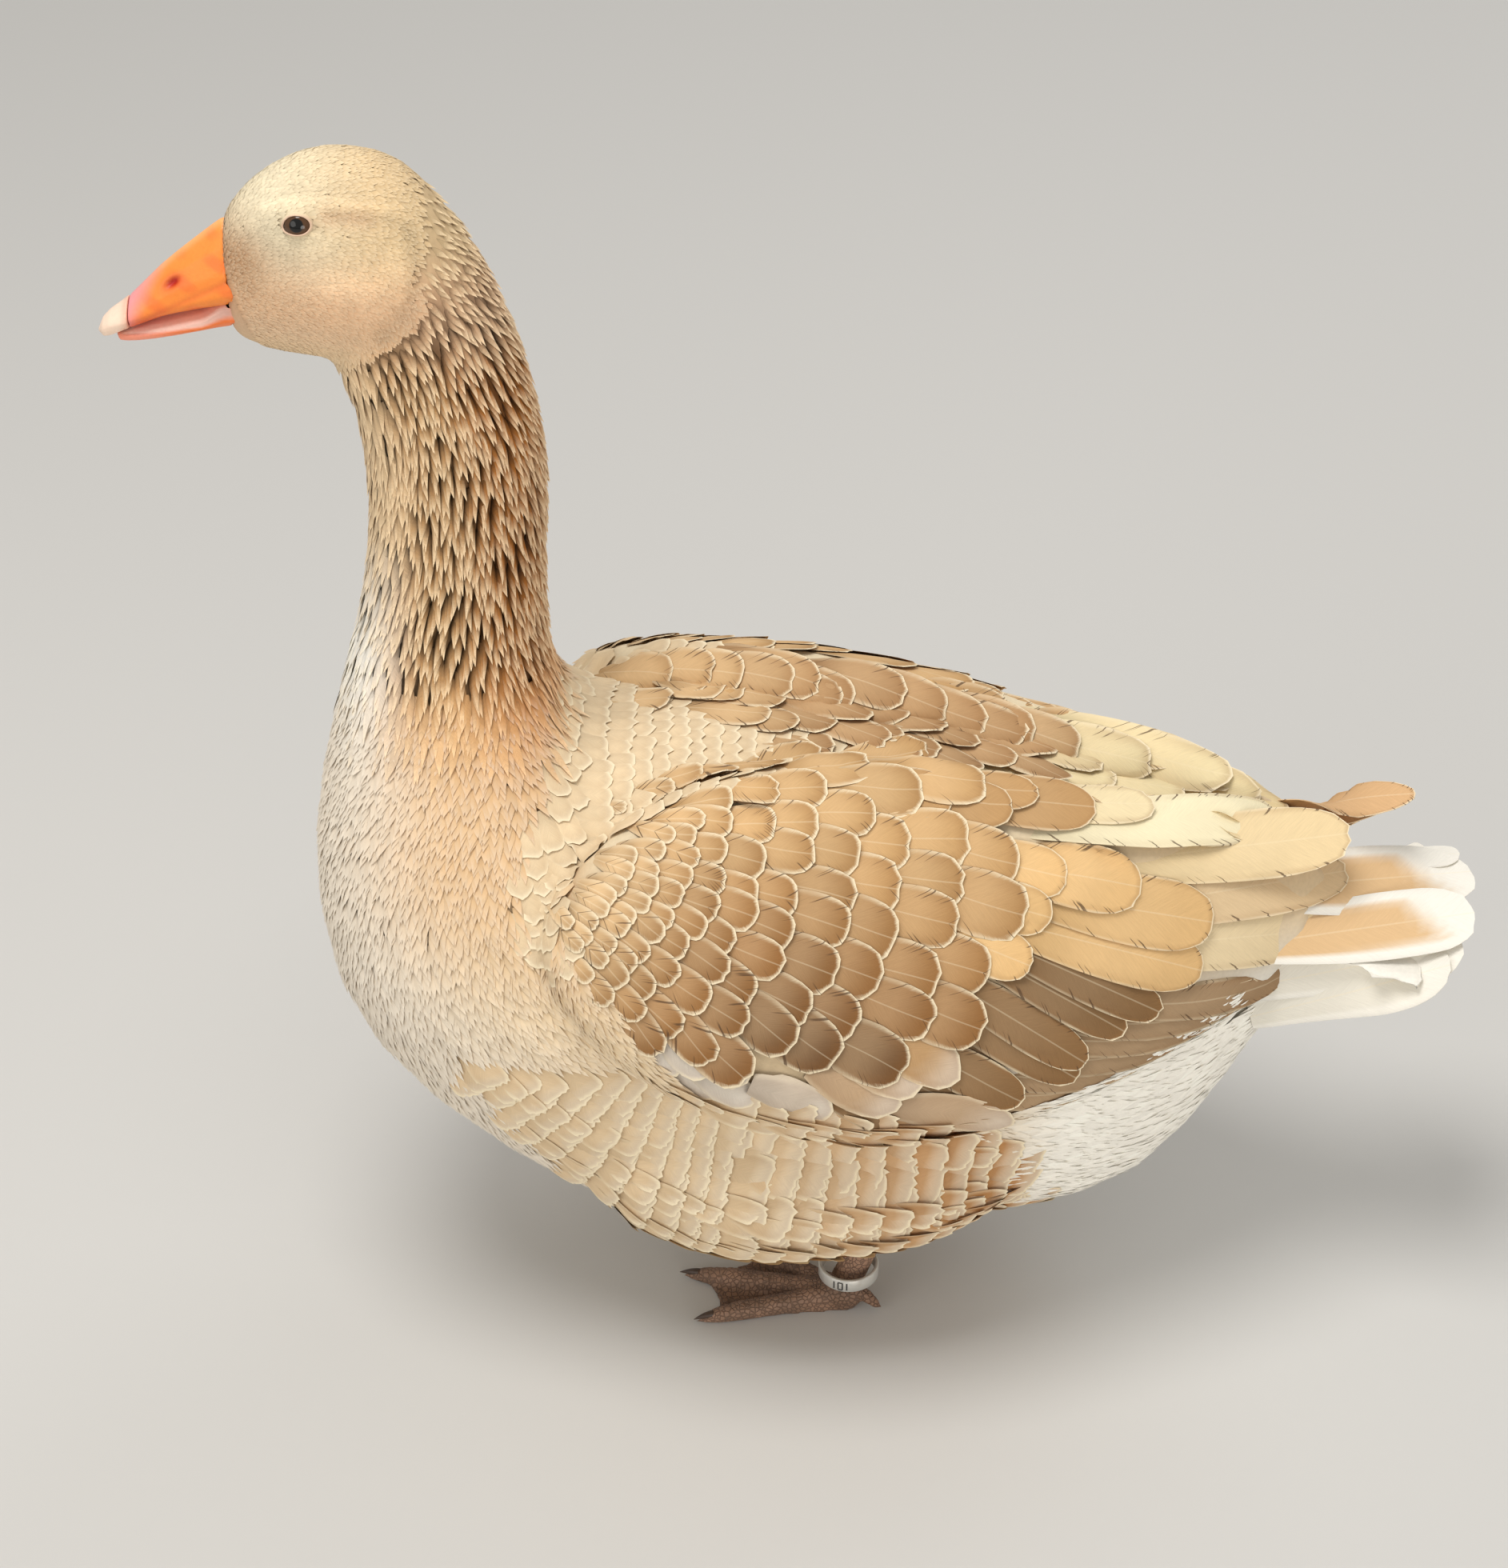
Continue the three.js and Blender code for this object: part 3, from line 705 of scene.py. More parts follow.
class Coat:
    """Gathers feathers of one shape and turns them into one mesh."""

    CLEARANCE = 0.3

    def __init__(self, shape, solid=0.0, patch=0.003):
        """solid is the thickness of a feather, or 0 for a sheet; patch is its size in the UV map."""
        self.shape, self.solid, self.patch = shape, solid, patch
        self.parts = []
        self.count = 0
        grid = np.arange(shape.t.size).reshape(shape.t.shape)
        corners = [grid[:-1, :-1], grid[:-1, 1:], grid[1:, 1:], grid[1:, :-1]]
        self.quads = np.stack(corners, -1).reshape(-1, 4)
        self.order = np.arange(grid.size)
        self.loop = np.concatenate([grid[:, 0], grid[-1, 1:], grid[-2::-1, -1], grid[0, -2:0:-1]])
        if solid > 0.0:
            self.close()

    def close(self):
        """Adds an underside and a wall, which repeat vertices of the grid in this order."""
        size, around = self.order.size, len(self.loop)
        first = 2 * size + np.arange(around)
        following = 2 * size + np.roll(np.arange(around), -1)
        wall = np.stack([first, following, following + around, first + around], -1)
        self.quads = np.concatenate([self.quads, self.quads[:, ::-1] + size, wall])
        self.order = np.concatenate([self.order, self.order, self.loop, self.loop])

    def add(self, axis, up, width, low, high, colours, rim=0.0, roll=0.0, cup=0.12, arch=0.0, drape=None):
        """Adds a feather along each axis, each over those before it if there's a drape.
        low and high are the heights of root and tip over the surface; colours gives a colour for
        each feather, station and column; rim is the strength of the pale fringe; roll lifts one edge;
        cup lowers both edges; arch makes a keel along the middle."""
        shape, t, s = self.shape, self.shape.t, self.shape.s
        n, (nt, ns) = len(axis), shape.t.shape
        values = (width, low, high, rim, roll, cup, arch)
        width, low, high, rim, roll, cup, arch = (spread_out(v, n) for v in values)
        length = spread_out(np.linalg.norm(np.diff(axis, axis=1), axis=-1).sum(1), n)
        root = axis[:, 0]
        axis = np.einsum("kcs,nsd->nkcd", shape.weights, axis)
        up = unit(np.einsum("kcs,nsd->nkcd", shape.weights, up))
        way = unit(np.gradient(axis, axis=1))
        aside = unit(np.cross(up, way))
        up = unit(np.cross(way, aside))
        half = width * shape.half
        offset = half * s
        lift = low + (high - low) * t**LIFT_POWER
        lift = lift + roll * offset - cup * half * s**2 + arch * half * (1.0 - np.abs(s))
        # every second column ends a little short, which makes the tip ragged
        rough = RNG.uniform(-1.0, 1.0, (n, 1, ns)) * shape.jag
        rough[..., 1::2] -= shape.jag * 0.8
        pull = rough * shape.rung[:, None] ** 6 * length
        verts = axis + aside * offset[..., None] + up * lift[..., None] + way * pull[..., None]
        if drape:
            verts = np.stack([drape.lay(verts[i], up[i], self.solid + self.CLEARANCE) for i in range(n)])
        # the vane attribute: place across and along the feather, and distance from its outline
        edge = np.minimum((1.0 - np.abs(s)) * half, length * (shape.ends - t))
        vane = np.stack([offset, length * t, edge], -1)
        colour = np.broadcast_to(colours(t, s), (n, nt, ns, 3))
        fringe = rim * (0.3 + 0.7 * ramp(t, 0.55, 0.9))
        colour = np.concatenate([colour, fringe[..., None]], -1)
        place = np.stack([offset / np.maximum(width, 1e-6), np.broadcast_to(t - 0.5, offset.shape)], -1)
        seed = np.broadcast_to(RNG.uniform(0, 1, (n, 1, 1)), (n, nt, ns))[..., None]
        sheet = nt * ns
        grids = [v.reshape(n, sheet, -1)[:, self.order] for v in (verts, vane, colour, place, seed)]
        if self.solid > 0.0:
            under = (up * self.solid).reshape(n, sheet, 3)
            grids[0][:, sheet : 2 * sheet] -= under
            grids[0][:, 2 * sheet + len(self.loop) :] -= under[:, self.loop]
        size = len(self.order)
        starts = self.count + np.arange(n) * size
        flat = [v.reshape(-1, v.shape[-1]) for v in grids]
        faces = (starts[:, None, None] + self.quads).reshape(-1, 4)
        self.parts.append((*flat, np.repeat(root, size, 0), faces))
        self.count += n * size

    def finish(self, name, material, slot_name, replaces=()):
        verts, vane, colour, place, seed, roots, faces = (np.concatenate(v) for v in zip(*self.parts))
        thing = new_object(name, verts, faces)
        add_attribute(thing.data, "vane", vane)
        add_attribute(thing.data, "tone", np.clip(colour, 0.0, 1.0))
        add_attribute(thing.data, "seed", seed)
        uv = self.patch + skin_map(roots) * (1.0 - 2 * self.patch) + place * self.patch
        layer = thing.data.uv_layers.new(name="OFBake")
        layer.data.foreach_set("uv", uv[faces.ravel()].ravel().astype(np.float32))
        dressed(thing, material, replaces)


def skin_map(points):
    """The place of points on the skin unwrapped round the spine, each way from 0 to 1."""
    near, angle = body_place(points)
    return np.stack([angle / (2 * math.pi) + 0.5, near / spine.end], -1)


def graded(root, middle, tip, start=0.55, sides=0.0):
    """A colour function that goes from root to middle to tip along each feather, and darkens at its sides as
    painted shade.
    """

    def colours(t, s):
        lower = mix(root[:, None, None], middle[:, None, None], ramp(t, 0.1, 0.5))
        whole = mix(lower, tip[:, None, None], ramp(t, start, 1.0))
        return whole * (1.0 - spread_out(sides, len(root)) * s**2)[..., None]

    return colours


def edged(middle, edge):
    """A colour function with another colour along both edges and the tip, and painted shade that darkens the
    outermost edges a little.
    """

    def colours(t, s):
        share = np.maximum(ramp(np.abs(s) + 0.15 * t, 0.66, 0.84), ramp(t + 0.1 * s, 0.72, 0.84))
        whole = mix(middle[:, None, None], edge[:, None, None], share)
        # painted shade along the outermost edges, where one quill lies over the next
        return whole * (1.0 - 0.1 * ramp(np.abs(s), 0.85, 1.0))[..., None]

    return colours


# ---- Markings of body, neck and head ----
BELLY, CHEST = tone("#e4d8c6"), tone("#e2d5c2")
THROAT, NECK_SIDE, NAPE = tone("#dcc19b"), tone("#d2a36e"), tone("#c27b38")
FOREHEAD, CROWN, CHEEK = tone("#e1d4b6"), tone("#d2b68c"), tone("#dbb28c")
LORES, SHADE_BEHIND_EYE = tone("#a97c56"), tone("#cfa781")


def body_tone(points, angle):
    """The colour of the coat at points, whose angle round the spine is given."""
    y, z = points[:, 1], points[:, 2]
    back = np.sin(angle)
    tones = mix(BELLY, PALE_BUFF, ramp(back, -0.65, 0.3))
    chest = mix(CHEST, mix(PALE_BUFF, BUFF, 0.6), ramp(back, -0.85, 0.1))
    tones = mix(tones, chest, ramp(z, 215, 300) * ramp(-y, 40, 100))
    throat = mix(WHITE, THROAT, ramp(z, 370, 450))
    neck = mix(mix(throat, NECK_SIDE, ramp(back, -0.95, -0.3)), NAPE, ramp(back, -0.1, 0.8))
    tones = mix(tones, neck, ramp(z, 310, 380) * (1 - ramp(z, 520, 552)))
    face = mix(FOREHEAD, CROWN, ramp(y, -245, -190))
    face = mix(face, CHEEK, 1 - ramp(z, 548, 582))
    face = mix(face, LORES, 0.9 * bell(y, -254, 14) * bell(z, 566, 15))
    # painted shade: a darker band along the groove running back from above the eye
    face = mix(face, SHADE_BEHIND_EYE, 0.6 * bell(z, 590, 4) * ramp(y, -222, -214) * (1 - ramp(y, -200, -188)))
    tones = mix(tones, face, ramp(z, 510, 548))
    mantle = ramp(z, 268, 300) * ramp(y, -135, -100) * ramp(back, 0.3, 0.7)
    tones = mix(tones, mix(CREAM, PALE_BUFF, 0.4), mantle)
    return mix(tones, WHITE, ramp(y, 70, 105) * (1 - ramp(z, 190, 240)))


# ---- Where each tract of feathers begins and ends ----
# Outlines in the side view
WING_OUTLINE = [
    (-117, 68), (-112, 52), (-102, 30), (-88, 16), (-68, 6), (-55, 1), (-30, -4), (-2, -9), (59, -6),
    (125, 1), (208, 8), (245, 16), (247, 40), (226, 76), (187, 101), (153, 124), (116, 143), (77, 154),
    (47, 160), (12, 154), (-18, 145), (-48, 139), (-81, 129), (-94, 106), (-108, 87),
]
AXILLA_OUTLINE = [
    (-86, 122), (-70, 138), (-58, 152), (-10, 166), (48, 172), (48, 158), (12, 150), (-18, 140), (-48, 130),
    (-80, 120),
]
FLANK_OUTLINE = [
    (-141, 80), (-120, 78), (-87, 112), (-65, 136), (-10, 151), (48, 157), (80, 170), (80, 202), (26, 222),
    (-47, 226), (-98, 197), (-138, 164), (-171, 128), (-171, 95),
]
SHOULDER_OUTLINE = [
    (-119, -62), (0, -12), (-60, 4), (-88, 22), (-106, 42), (-117, 68), (-134, 80), (-144, 50), (-134, 10),
    (-122, -22), (-126, -45),
]
HEAD_OUTLINE = [
    (-340, -150), (-240, -186), (-218, -192), (-193, -205), (-181, -217), (-188, -232), (-182, -250),
    (-186, -275), (-196, -330), (-340, -330),
]
FLESH = ("head", "neck_upper", "neck_lower", "trunk", "wing_left", "wing_right")
GROWTH = 0.35
# places along a fold of the face in the side view, its half width and its height
FOLDS = (
    (((-256, -262), (-240, -264.5), (-226, -264), (-212, -263), (-194, -262)), 3.0, 0.9),
    (((-225, -257), (-212, -256.5), (-196, -255), (-184, -252)), 3.4, -0.8),
    (((-256, -247), (-246, -238)), 8.0, -0.9),
    (((-222, -222), (-208, -222), (-197, -228)), 11.0, 1.8),
    (((-188, -250), (-184, -234), (-188, -217), (-203, -203)), 3.0, -1.7),
)


def joined(names, voxel, smoothing):
    """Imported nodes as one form, grown a little so that the gaps between them close."""
    verts, tris = node_arrays(*names)
    return remeshed(grown(verts, tris, GROWTH), tris, voxel=voxel, smoothing=smoothing)


def relief(verts):
    """How far the folds of the face stand out at each point."""
    y, d = view_place(verts)
    height = np.zeros(len(verts))
    for path, width, rise in FOLDS:
        near = np.full(len(verts), np.inf)
        for fold_y, fold_d in smooth_line(path, 0.5):
            near = np.minimum(near, (y - fold_y) ** 2 + (d - fold_d) ** 2)
        height += rise * np.exp(-near / width**2)
    return height * ramp(verts[:, 2], 490, 510) * ramp(np.abs(verts[:, 0]), 8, 16)


flesh_verts, flesh_tris = joined((*FLESH, "eye_left", "eye_right"), voxel=2.7, smoothing=9)
outer = Surface(grown(flesh_verts, flesh_tris, relief(flesh_verts)[:, None]), flesh_tris)
rump = Surface(*joined(("neck_lower", "trunk", "tail"), voxel=3.0, smoothing=10))

make_stage()
crisp = feather_material("crisp_feathers", fringe=2.0, barb=1.5, shaft=0.45, slits=6.5, depth=0.15)
scallop = feather_material("scalloped_feathers", fringe=2.0, barb=1.4, depth=0.14)
locks = feather_material("neck_locks", fringe=0.6, barb=1.6, depth=0.3)
tail_vane = feather_material("tail_quills", fringe=0.8, barb=1.2, shaft=0.6, depth=0.1)
quills = feather_material("long_quills", fringe=1.1, barb=1.3, shaft=0.5, slits=4.0, depth=0.14, ragged=0.4)
fluff = feather_material("fluff", fringe=0.6, barb=1.0, depth=0.06, bump=0.0002)
down = tinted_material("skin", scale=500.0, depth=0.1, roughness=0.85, bump=0.0004)


def blurred(outline, points, blur):
    """Which points, each seen from its own side, lie inside an outline with a ragged edge."""
    y, d = view_place(points)
    return inside(outline, y + RNG.uniform(-blur, blur, len(y)), d + RNG.uniform(-blur, blur, len(y)))


def facing_side(points):
    """How far the surface at points faces the side view of its own side, from -1 to 1."""
    _, normals = outer.nearest(points)
    flip = np.stack([np.sign(points[:, 0]), np.ones(len(points)), np.ones(len(points))], -1)
    return (unit(CAMERA_AT - points * flip) * normals * flip).sum(-1)


def on_wing(points, least=0.42):
    within = blurred(WING_OUTLINE, points, 0.5) | blurred(AXILLA_OUTLINE, points, 0.5)
    return within & (facing_side(points) > least) & (np.abs(points[:, 0]) > 12)


def on_flank(points):
    return blurred(FLANK_OUTLINE, points, 2.0) & (np.abs(points[:, 0]) > 25) & (points[:, 2] < 200)


def on_shoulder(points):
    return (blurred(SHOULDER_OUTLINE, points, 4.0) & (points[:, 2] > 175)) | on_back(points)


def on_back(points):
    """The back between the wings."""
    return (points[:, 1] > -118) & (points[:, 2] > 262) & (np.abs(points[:, 0]) < 75)


def on_head(points):
    return blurred(HEAD_OUTLINE, points, 2.5) & (points[:, 2] > 495)


# ---- Which roots each tract keeps ----
def body_roots(points, angles):
    """All but the wings, flanks, shoulders and the top of the tail."""
    low = (points[:, 1] < 190) | (points[:, 2] < 172)
    return ~on_wing(points) & ~on_flank(points) & ~on_shoulder(points) & low


def mantle_roots(points, angles):
    return ~on_wing(points) & on_back(points) & (points[:, 1] < 6)


def shoulder_roots(points, angles):
    return ~on_wing(points) & on_shoulder(points) & ~on_back(points)


def rear_back_roots(points, angles):
    y, z = points[:, 1], points[:, 2]
    return ~on_wing(points, 0.55) & (y > -2) & (y < 196) & (z > 215) & (np.sin(angles) > 0.2)


def front_flank_roots(points, angles):
    return on_flank(points) & (points[:, 1] < -62)


def rear_flank_roots(points, angles):
    return on_flank(points) & (points[:, 1] > -66)


def neck_roots(points, angles):
    return (points[:, 2] > 342 + RNG.uniform(-14, 14, len(points))) & ~on_head(points)


def head_roots(points, angles):
    return on_head(points)


def tail_covert_roots(points, angles):
    return (points[:, 1] > 172) & (points[:, 1] < 226) & (np.sin(angles) < 0.12)


# ---- Breast, belly and sides ----
def body_coat(name, start, end):
    coat = Coat(Shape(along=4, across=3, widest=0.5, point=1.5, root=0.6, jag=0.06))
    points, lies, turns, _ = rows(
        outer, start=start, end=end, along=2.7, across=2.7, keep=body_roots, spacing=0.72, jitter=0.3)
    n = len(points)
    vent = ramp(points[:, 1], 70, 100) * (1 - ramp(points[:, 2], 200, 240))
    # painted light: the vent's colour is lightened to stand in for light on its down-facing side
    base = vary(body_tone(points, turns), 0.07) * (1.0 + 0.1 * vent)[:, None]
    lies = lies + RNG.uniform(-0.09, 0.09, (n, 3))
    length = (13 + 5 * vent) * RNG.uniform(0.85, 1.15, n)
    axis, up = laid(outer, points, lies, length=length, bow=RNG.uniform(-0.12, 0.12, n))
    high = RNG.uniform(-0.6, 0.1, n) + vent * RNG.uniform(0.0, 0.5, n)
    colours = graded(base * 0.9, base, mix(base, WHITE, 0.3))
    roll = RNG.uniform(-0.12, 0.12, n) * (1 - 0.6 * vent)
    coat.add(
        axis, up, width=4.4 + vent, low=-2.2 + 1.3 * vent, high=high, colours=colours, roll=roll,
        cup=0.25 - 0.13 * vent)
    coat.finish(name, fluff, "plumage")


body_coat("feathers_rear", 8, SHOULDER_LENGTH)
body_coat("feathers_breast", SHOULDER_LENGTH, NECK_BASE + 8)

# ---- Mantle and shoulders ----
coat = Coat(Shape(along=7, across=9, widest=0.6, point=2.0, root=0.5, jag=0.05))
buff_cream = mix(mix(CREAM, PALE_BUFF, 0.6), BUFF, 0.12)
for line, keep, start, end in (
    (back_line, mantle_roots, 200, 400), (spine, shoulder_roots, 160, NECK_BASE + 10),
):
    points, lies, _, _ = rows(
        outer, start=start, end=end, along=8.0, across=9.0, keep=keep, jitter=0.1, spacing=0.6, line=line)
    n = len(points)
    base = vary(every(buff_cream, n), 0.06)
    axis, up = laid(outer, points, lies, length=21.0)
    colours = graded(base * 0.85, base * 0.95, CREAM[None], start=0.72)
    coat.add(
        axis, up, width=13.5, low=-2.2, high=-0.2, colours=colours, rim=0.8, cup=0.2,
        roll=RNG.uniform(-0.04, 0.04, n))
coat.finish("mantle", scallop, "plumage")

# ---- Back behind the mantle ----
coat = Coat(Shape(along=12, across=11, widest=0.65, point=2.3, root=0.4, jag=0.012), patch=0.006)
points, lies, _, _ = rows(
    outer, start=6, end=320, along=14.0, across=15.0, keep=rear_back_roots, jitter=0.15, spacing=0.75,
    line=back_line)
base = vary(mix(tone("#caa577"), tone("#e6cf9f"), ramp(points[:, 1], 90, 150)), 0.07)
axis, up = laid(outer, points, lies, length=46.0)
coat.add(
    axis, up, width=24.0, low=-5.5, high=-3.2, colours=graded(base * 0.8, base, base), rim=0.8, cup=0.15)
coat.finish("back", crisp, "plumage")

# ---- Flanks ----
FLANK_FRONT, FLANK_REAR, FLANK_EDGE = tone("#e2c8a2"), tone("#bd8750"), tone("#fbf0d8")
FLANK_FALL = np.array([0, 0, -0.25])
coat = Coat(Shape(along=8, across=15, widest=0.8, point=3.0, root=0.6, jag=0.035))
for keep, apart, width in ((front_flank_roots, 9.0, 20.0), (rear_flank_roots, 13.0, 26.0)):
    points, lies, _, _ = rows(
        outer, start=60, end=NECK_BASE, along=apart, across=0.45 * width, keep=keep, jitter=0.05,
        spacing=0.55)
    y, _ = view_place(points)
    base = vary(mix(FLANK_FRONT, FLANK_REAR, ramp(y, -75, 72)), 0.08)
    axis, up = laid(outer, points, lies + FLANK_FALL, length=apart * 2.5)
    colours = graded(base * 0.9, base * 0.95, mix(base, FLANK_EDGE, 0.85), start=0.62)
    high = -0.1 + RNG.uniform(-0.3, 0.3, len(points))
    coat.add(axis, up, width=width, low=-2.6, high=high, colours=colours, rim=0.9, cup=0.05)
coat.finish("flanks", scallop, "plumage")

# ---- Neck ----
# Pointed locks one under another in wandering upright ridges, with dark furrows between the ridges: lower
# roots there, and painted shade on the locks' roots and sides and on the skin beneath
RIDGES = 48
# start, end, distance between rows, and the least distance between roots as a share of it
NECK_ROWS = ((NECK_BASE - 22, NECK_TOP - 18, 3.3, 0.5), (NECK_TOP - 18, NECK_TOP + 50, 1.8, 1.6))
coat = Coat(Shape(along=6, across=5, widest=0.35, point=1.3, root=0.6, jag=0.06))
parts = []
for start, end, apart, spacing in NECK_ROWS:
    parts.append(rows(
        outer, start=start, end=end, along=apart, across=5.0, keep=neck_roots, stagger=0.0, jitter=0.1,
        count=RIDGES, spacing=spacing, wander=0.6))
points, lies, turns, places = (np.concatenate(v) for v in zip(*parts))
n = len(points)
deep = ramp(places, NECK_BASE - 5, NECK_BASE + 40) * (1 - 0.4 * ramp(places, NECK_TOP - 5, NECK_TOP + 25))
deep = deep * (0.25 + 0.75 * ramp(np.sin(turns), -0.9, -0.3))
small = ramp(places, NECK_TOP - 20, NECK_TOP + 26)
base = vary(body_tone(points, turns), 0.09)
length = (18 - 7 * small) * RNG.uniform(0.8, 1.2, n)
axis, up = laid(outer, points, lies, length=length, bow=RNG.uniform(-0.12, 0.12, n))
high = RNG.uniform(-0.5, 0.4, n)
# the locks' own pale tips, lightened further by painted highlight where the furrows are deepest
tip = mix(base * 1.2, tone("#ffe8c2"), 0.38 + 0.42 * deep)
# painted shade in the furrows: the roots and sides of the locks darken with the depth of the furrows
dark = deep[:, None]
colours = graded(base * (1 - 0.8 * dark), base * (1 - 0.25 * dark), tip, start=0.5, sides=0.8 * deep)
roll = RNG.uniform(-0.18, 0.18, n)
coat.add(
    axis, up, width=4.6 - 0.4 * small, low=high - 1.0 - 2.3 * deep, high=high, colours=colours, roll=roll,
    cup=0.1 + 0.4 * deep, arch=0.8 * deep)
coat.finish("neck_locks", locks, "plumage")

# ---- Head ----
EYE = np.array([17.6, -224.0, 584.5])
EYE_RADIUS = 7.5
# which way the left eye looks
EYE_WAY = np.array([0.93, -0.12, 0.30])
# half the length and half the height of the opening between the lids
OPENING = (5.9, 4.0)


def eye_axes(side):
    """The eye's middle and its directions outwards, forwards and upwards."""
    middle = EYE * (side, 1, 1)
    outwards = unit(EYE_WAY * (side, 1, 1))
    forwards = unit(np.array([0.0, -1.0, 0.0]) + outwards * outwards[1])
    upwards = np.cross(forwards, outwards) * side
    return middle, outwards, forwards, upwards * np.sign(upwards[2])


def clear_of_eyes(axis):
    clear = np.ones(len(axis), dtype=bool)
    for _, side in SIDES:
        middle, outwards, forwards, upwards = eye_axes(side)
        away = axis - middle
        a = (away @ forwards) / (OPENING[0] + 1.0)
        b = (away @ upwards) / (OPENING[1] + 1.0)
        clear &= ((a**2 + b**2 > 1.0) | (away @ outwards < 0)).all(1)
    return clear


coat = Coat(Shape(along=4, across=3, widest=0.5, point=1.3, root=0.5, jag=0.1))
points, lies, turns, _ = rows(
    outer, start=NECK_TOP - 14, end=spine.end - 1, along=0.75, across=1.0, keep=head_roots, spacing=1.3,
    jitter=0.4)
lies = lies + RNG.uniform(-0.12, 0.12, points.shape)
axis, up = laid(outer, points, lies, length=RNG.uniform(3.8, 5.4, len(points)))
free = clear_of_eyes(axis)
axis, up, points, turns = (v[free] for v in (axis, up, points, turns))
n = len(points)
# painted light and shade: the face's folds are coloured lighter on their ridges and darker in their grooves
light = 1.0 + 0.13 * np.clip(relief(points), -1.5, 1.0)
base = vary(body_tone(points, turns), 0.09) * light[:, None]
colours = graded(base * 0.88, base, mix(base, CREAM, 0.4))
coat.add(axis, up, width=2.3, low=-0.3, high=RNG.uniform(-0.08, 0.12, n), colours=colours, cup=0.12)
coat.finish("head_tufts", fluff, "plumage")


# ---- Eyes and lids ----
PUPIL, PUPIL_EDGE, EYE_EDGE = (0.003, 0.003, 0.003), (0.004, 0.004, 0.004), (0.012, 0.008, 0.006)
IRIS, IRIS_STREAK = (0.075, 0.034, 0.014), (0.11, 0.05, 0.02)
AROUND_EYE, DOWN_EYE = 56, 30
# added to the reach of the ball's hidden half, so that the iris isn't painted on it
BEHIND = 20.0
# rings of a lid, from the opening out into the face: size against the opening, distance from the eye's
# middle, and share of the way to the skin
LID_RINGS = np.array([
    (1.0, 7.2, 0.0), (1.0, 7.75, 0.0), (1.06, 8.15, 0.0), (1.14, 8.3, 0.08), (1.24, 8.2, 0.25),
    (1.36, 7.9, 0.5), (1.5, 7.6, 0.78), (1.66, 7.3, 0.95), (1.9, 7.0, 1.0), (2.2, 7.0, 1.0),
    (2.6, 7.0, 1.0),
])
LID_TONE = tone("#d9b39b")
LID_TUCK = 0.35


def eye_material():
    """Pupil, streaked iris and dark edge, by the distance from the eye's axis in millimetres."""
    m = Nodes("eye")
    reach = m.attribute("reach")["Fac"]
    colour = m.blend(m.step(reach, 2.9, 3.3), PUPIL_EDGE, IRIS)
    colour = m.blend(m.times(m.noise(scale=900.0, detail=2.0), 0.5), colour, IRIS_STREAK)
    colour = m.blend(m.step(reach, 2.7, 3.1), PUPIL, colour)
    colour = m.blend(m.step(reach, 5.0, 5.8), colour, EYE_EDGE)
    return m.finish(colour, roughness=0.07, Specular_IOR_Level=0.35, Coat_Weight=0.25, Coat_Roughness=0.02)


def grid_faces(across, around):
    """Faces of a grid of rings that close on themselves."""
    index = np.arange(across * around).reshape(across, around)
    right = np.roll(index, -1, axis=1)
    return np.stack([index[:-1], index[1:], right[1:], right[:-1]], -1).reshape(-1, 4)


eye_paint = eye_material()
lid_paint = tinted_material("lids", scale=2500.0, depth=0.15, roughness=0.55, bump=0.0004)
turn = np.linspace(0, 2 * math.pi, AROUND_EYE, endpoint=False)
tilt = np.linspace(0.001, math.pi - 0.001, DOWN_EYE)[:, None]
for side_name, side in SIDES:
    middle, outwards, forwards, upwards = eye_axes(side)
    ring = np.cos(turn)[None, :, None] * forwards + np.sin(turn)[None, :, None] * upwards * side
    ball = middle + EYE_RADIUS * (np.cos(tilt)[..., None] * outwards + np.sin(tilt)[..., None] * ring)
    reach = np.broadcast_to(EYE_RADIUS * np.sin(tilt) + BEHIND * (tilt > math.pi / 2), ball.shape[:2])
    piece("eyeball_" + side_name, ball.reshape(-1, 3), grid_faces(DOWN_EYE, AROUND_EYE), eye_paint,
          ["eye_" + side_name], reach=reach.ravel())

    scale, inner, share = LID_RINGS.T
    # the opening is an ellipse whose front corner is longer and droops
    x, y = OPENING[0] * np.cos(turn), OPENING[1] * np.sin(turn)
    y = y - 0.9 * np.clip(np.cos(turn), 0, 1) ** 3 * 1.2
    x = x * (1.0 + 0.06 * np.cos(turn))
    flat = scale[:, None, None] * (x[None, :, None] * forwards + y[None, :, None] * upwards)
    height = np.sqrt(np.maximum(inner[:, None] ** 2 - (flat**2).sum(-1), 1.0))
    over = middle + flat + height[..., None] * outwards
    under, normal = outer.nearest(over)
    lids = over * (1 - share[:, None, None]) + (under - normal * LID_TUCK) * share[:, None, None]
    lids = lids.reshape(-1, 3)
    rim = np.repeat(1 - ramp(scale, 1.06, 1.3), AROUND_EYE)
    tones = mix(body_tone(lids, body_place(lids)[1]), LID_TONE, rim * 0.8)
    faces = grid_faces(len(scale), AROUND_EYE)
    faces = faces if side < 0 else faces[:, ::-1]
    piece("lids_" + side_name, lids, faces, lid_paint, tones=tones)

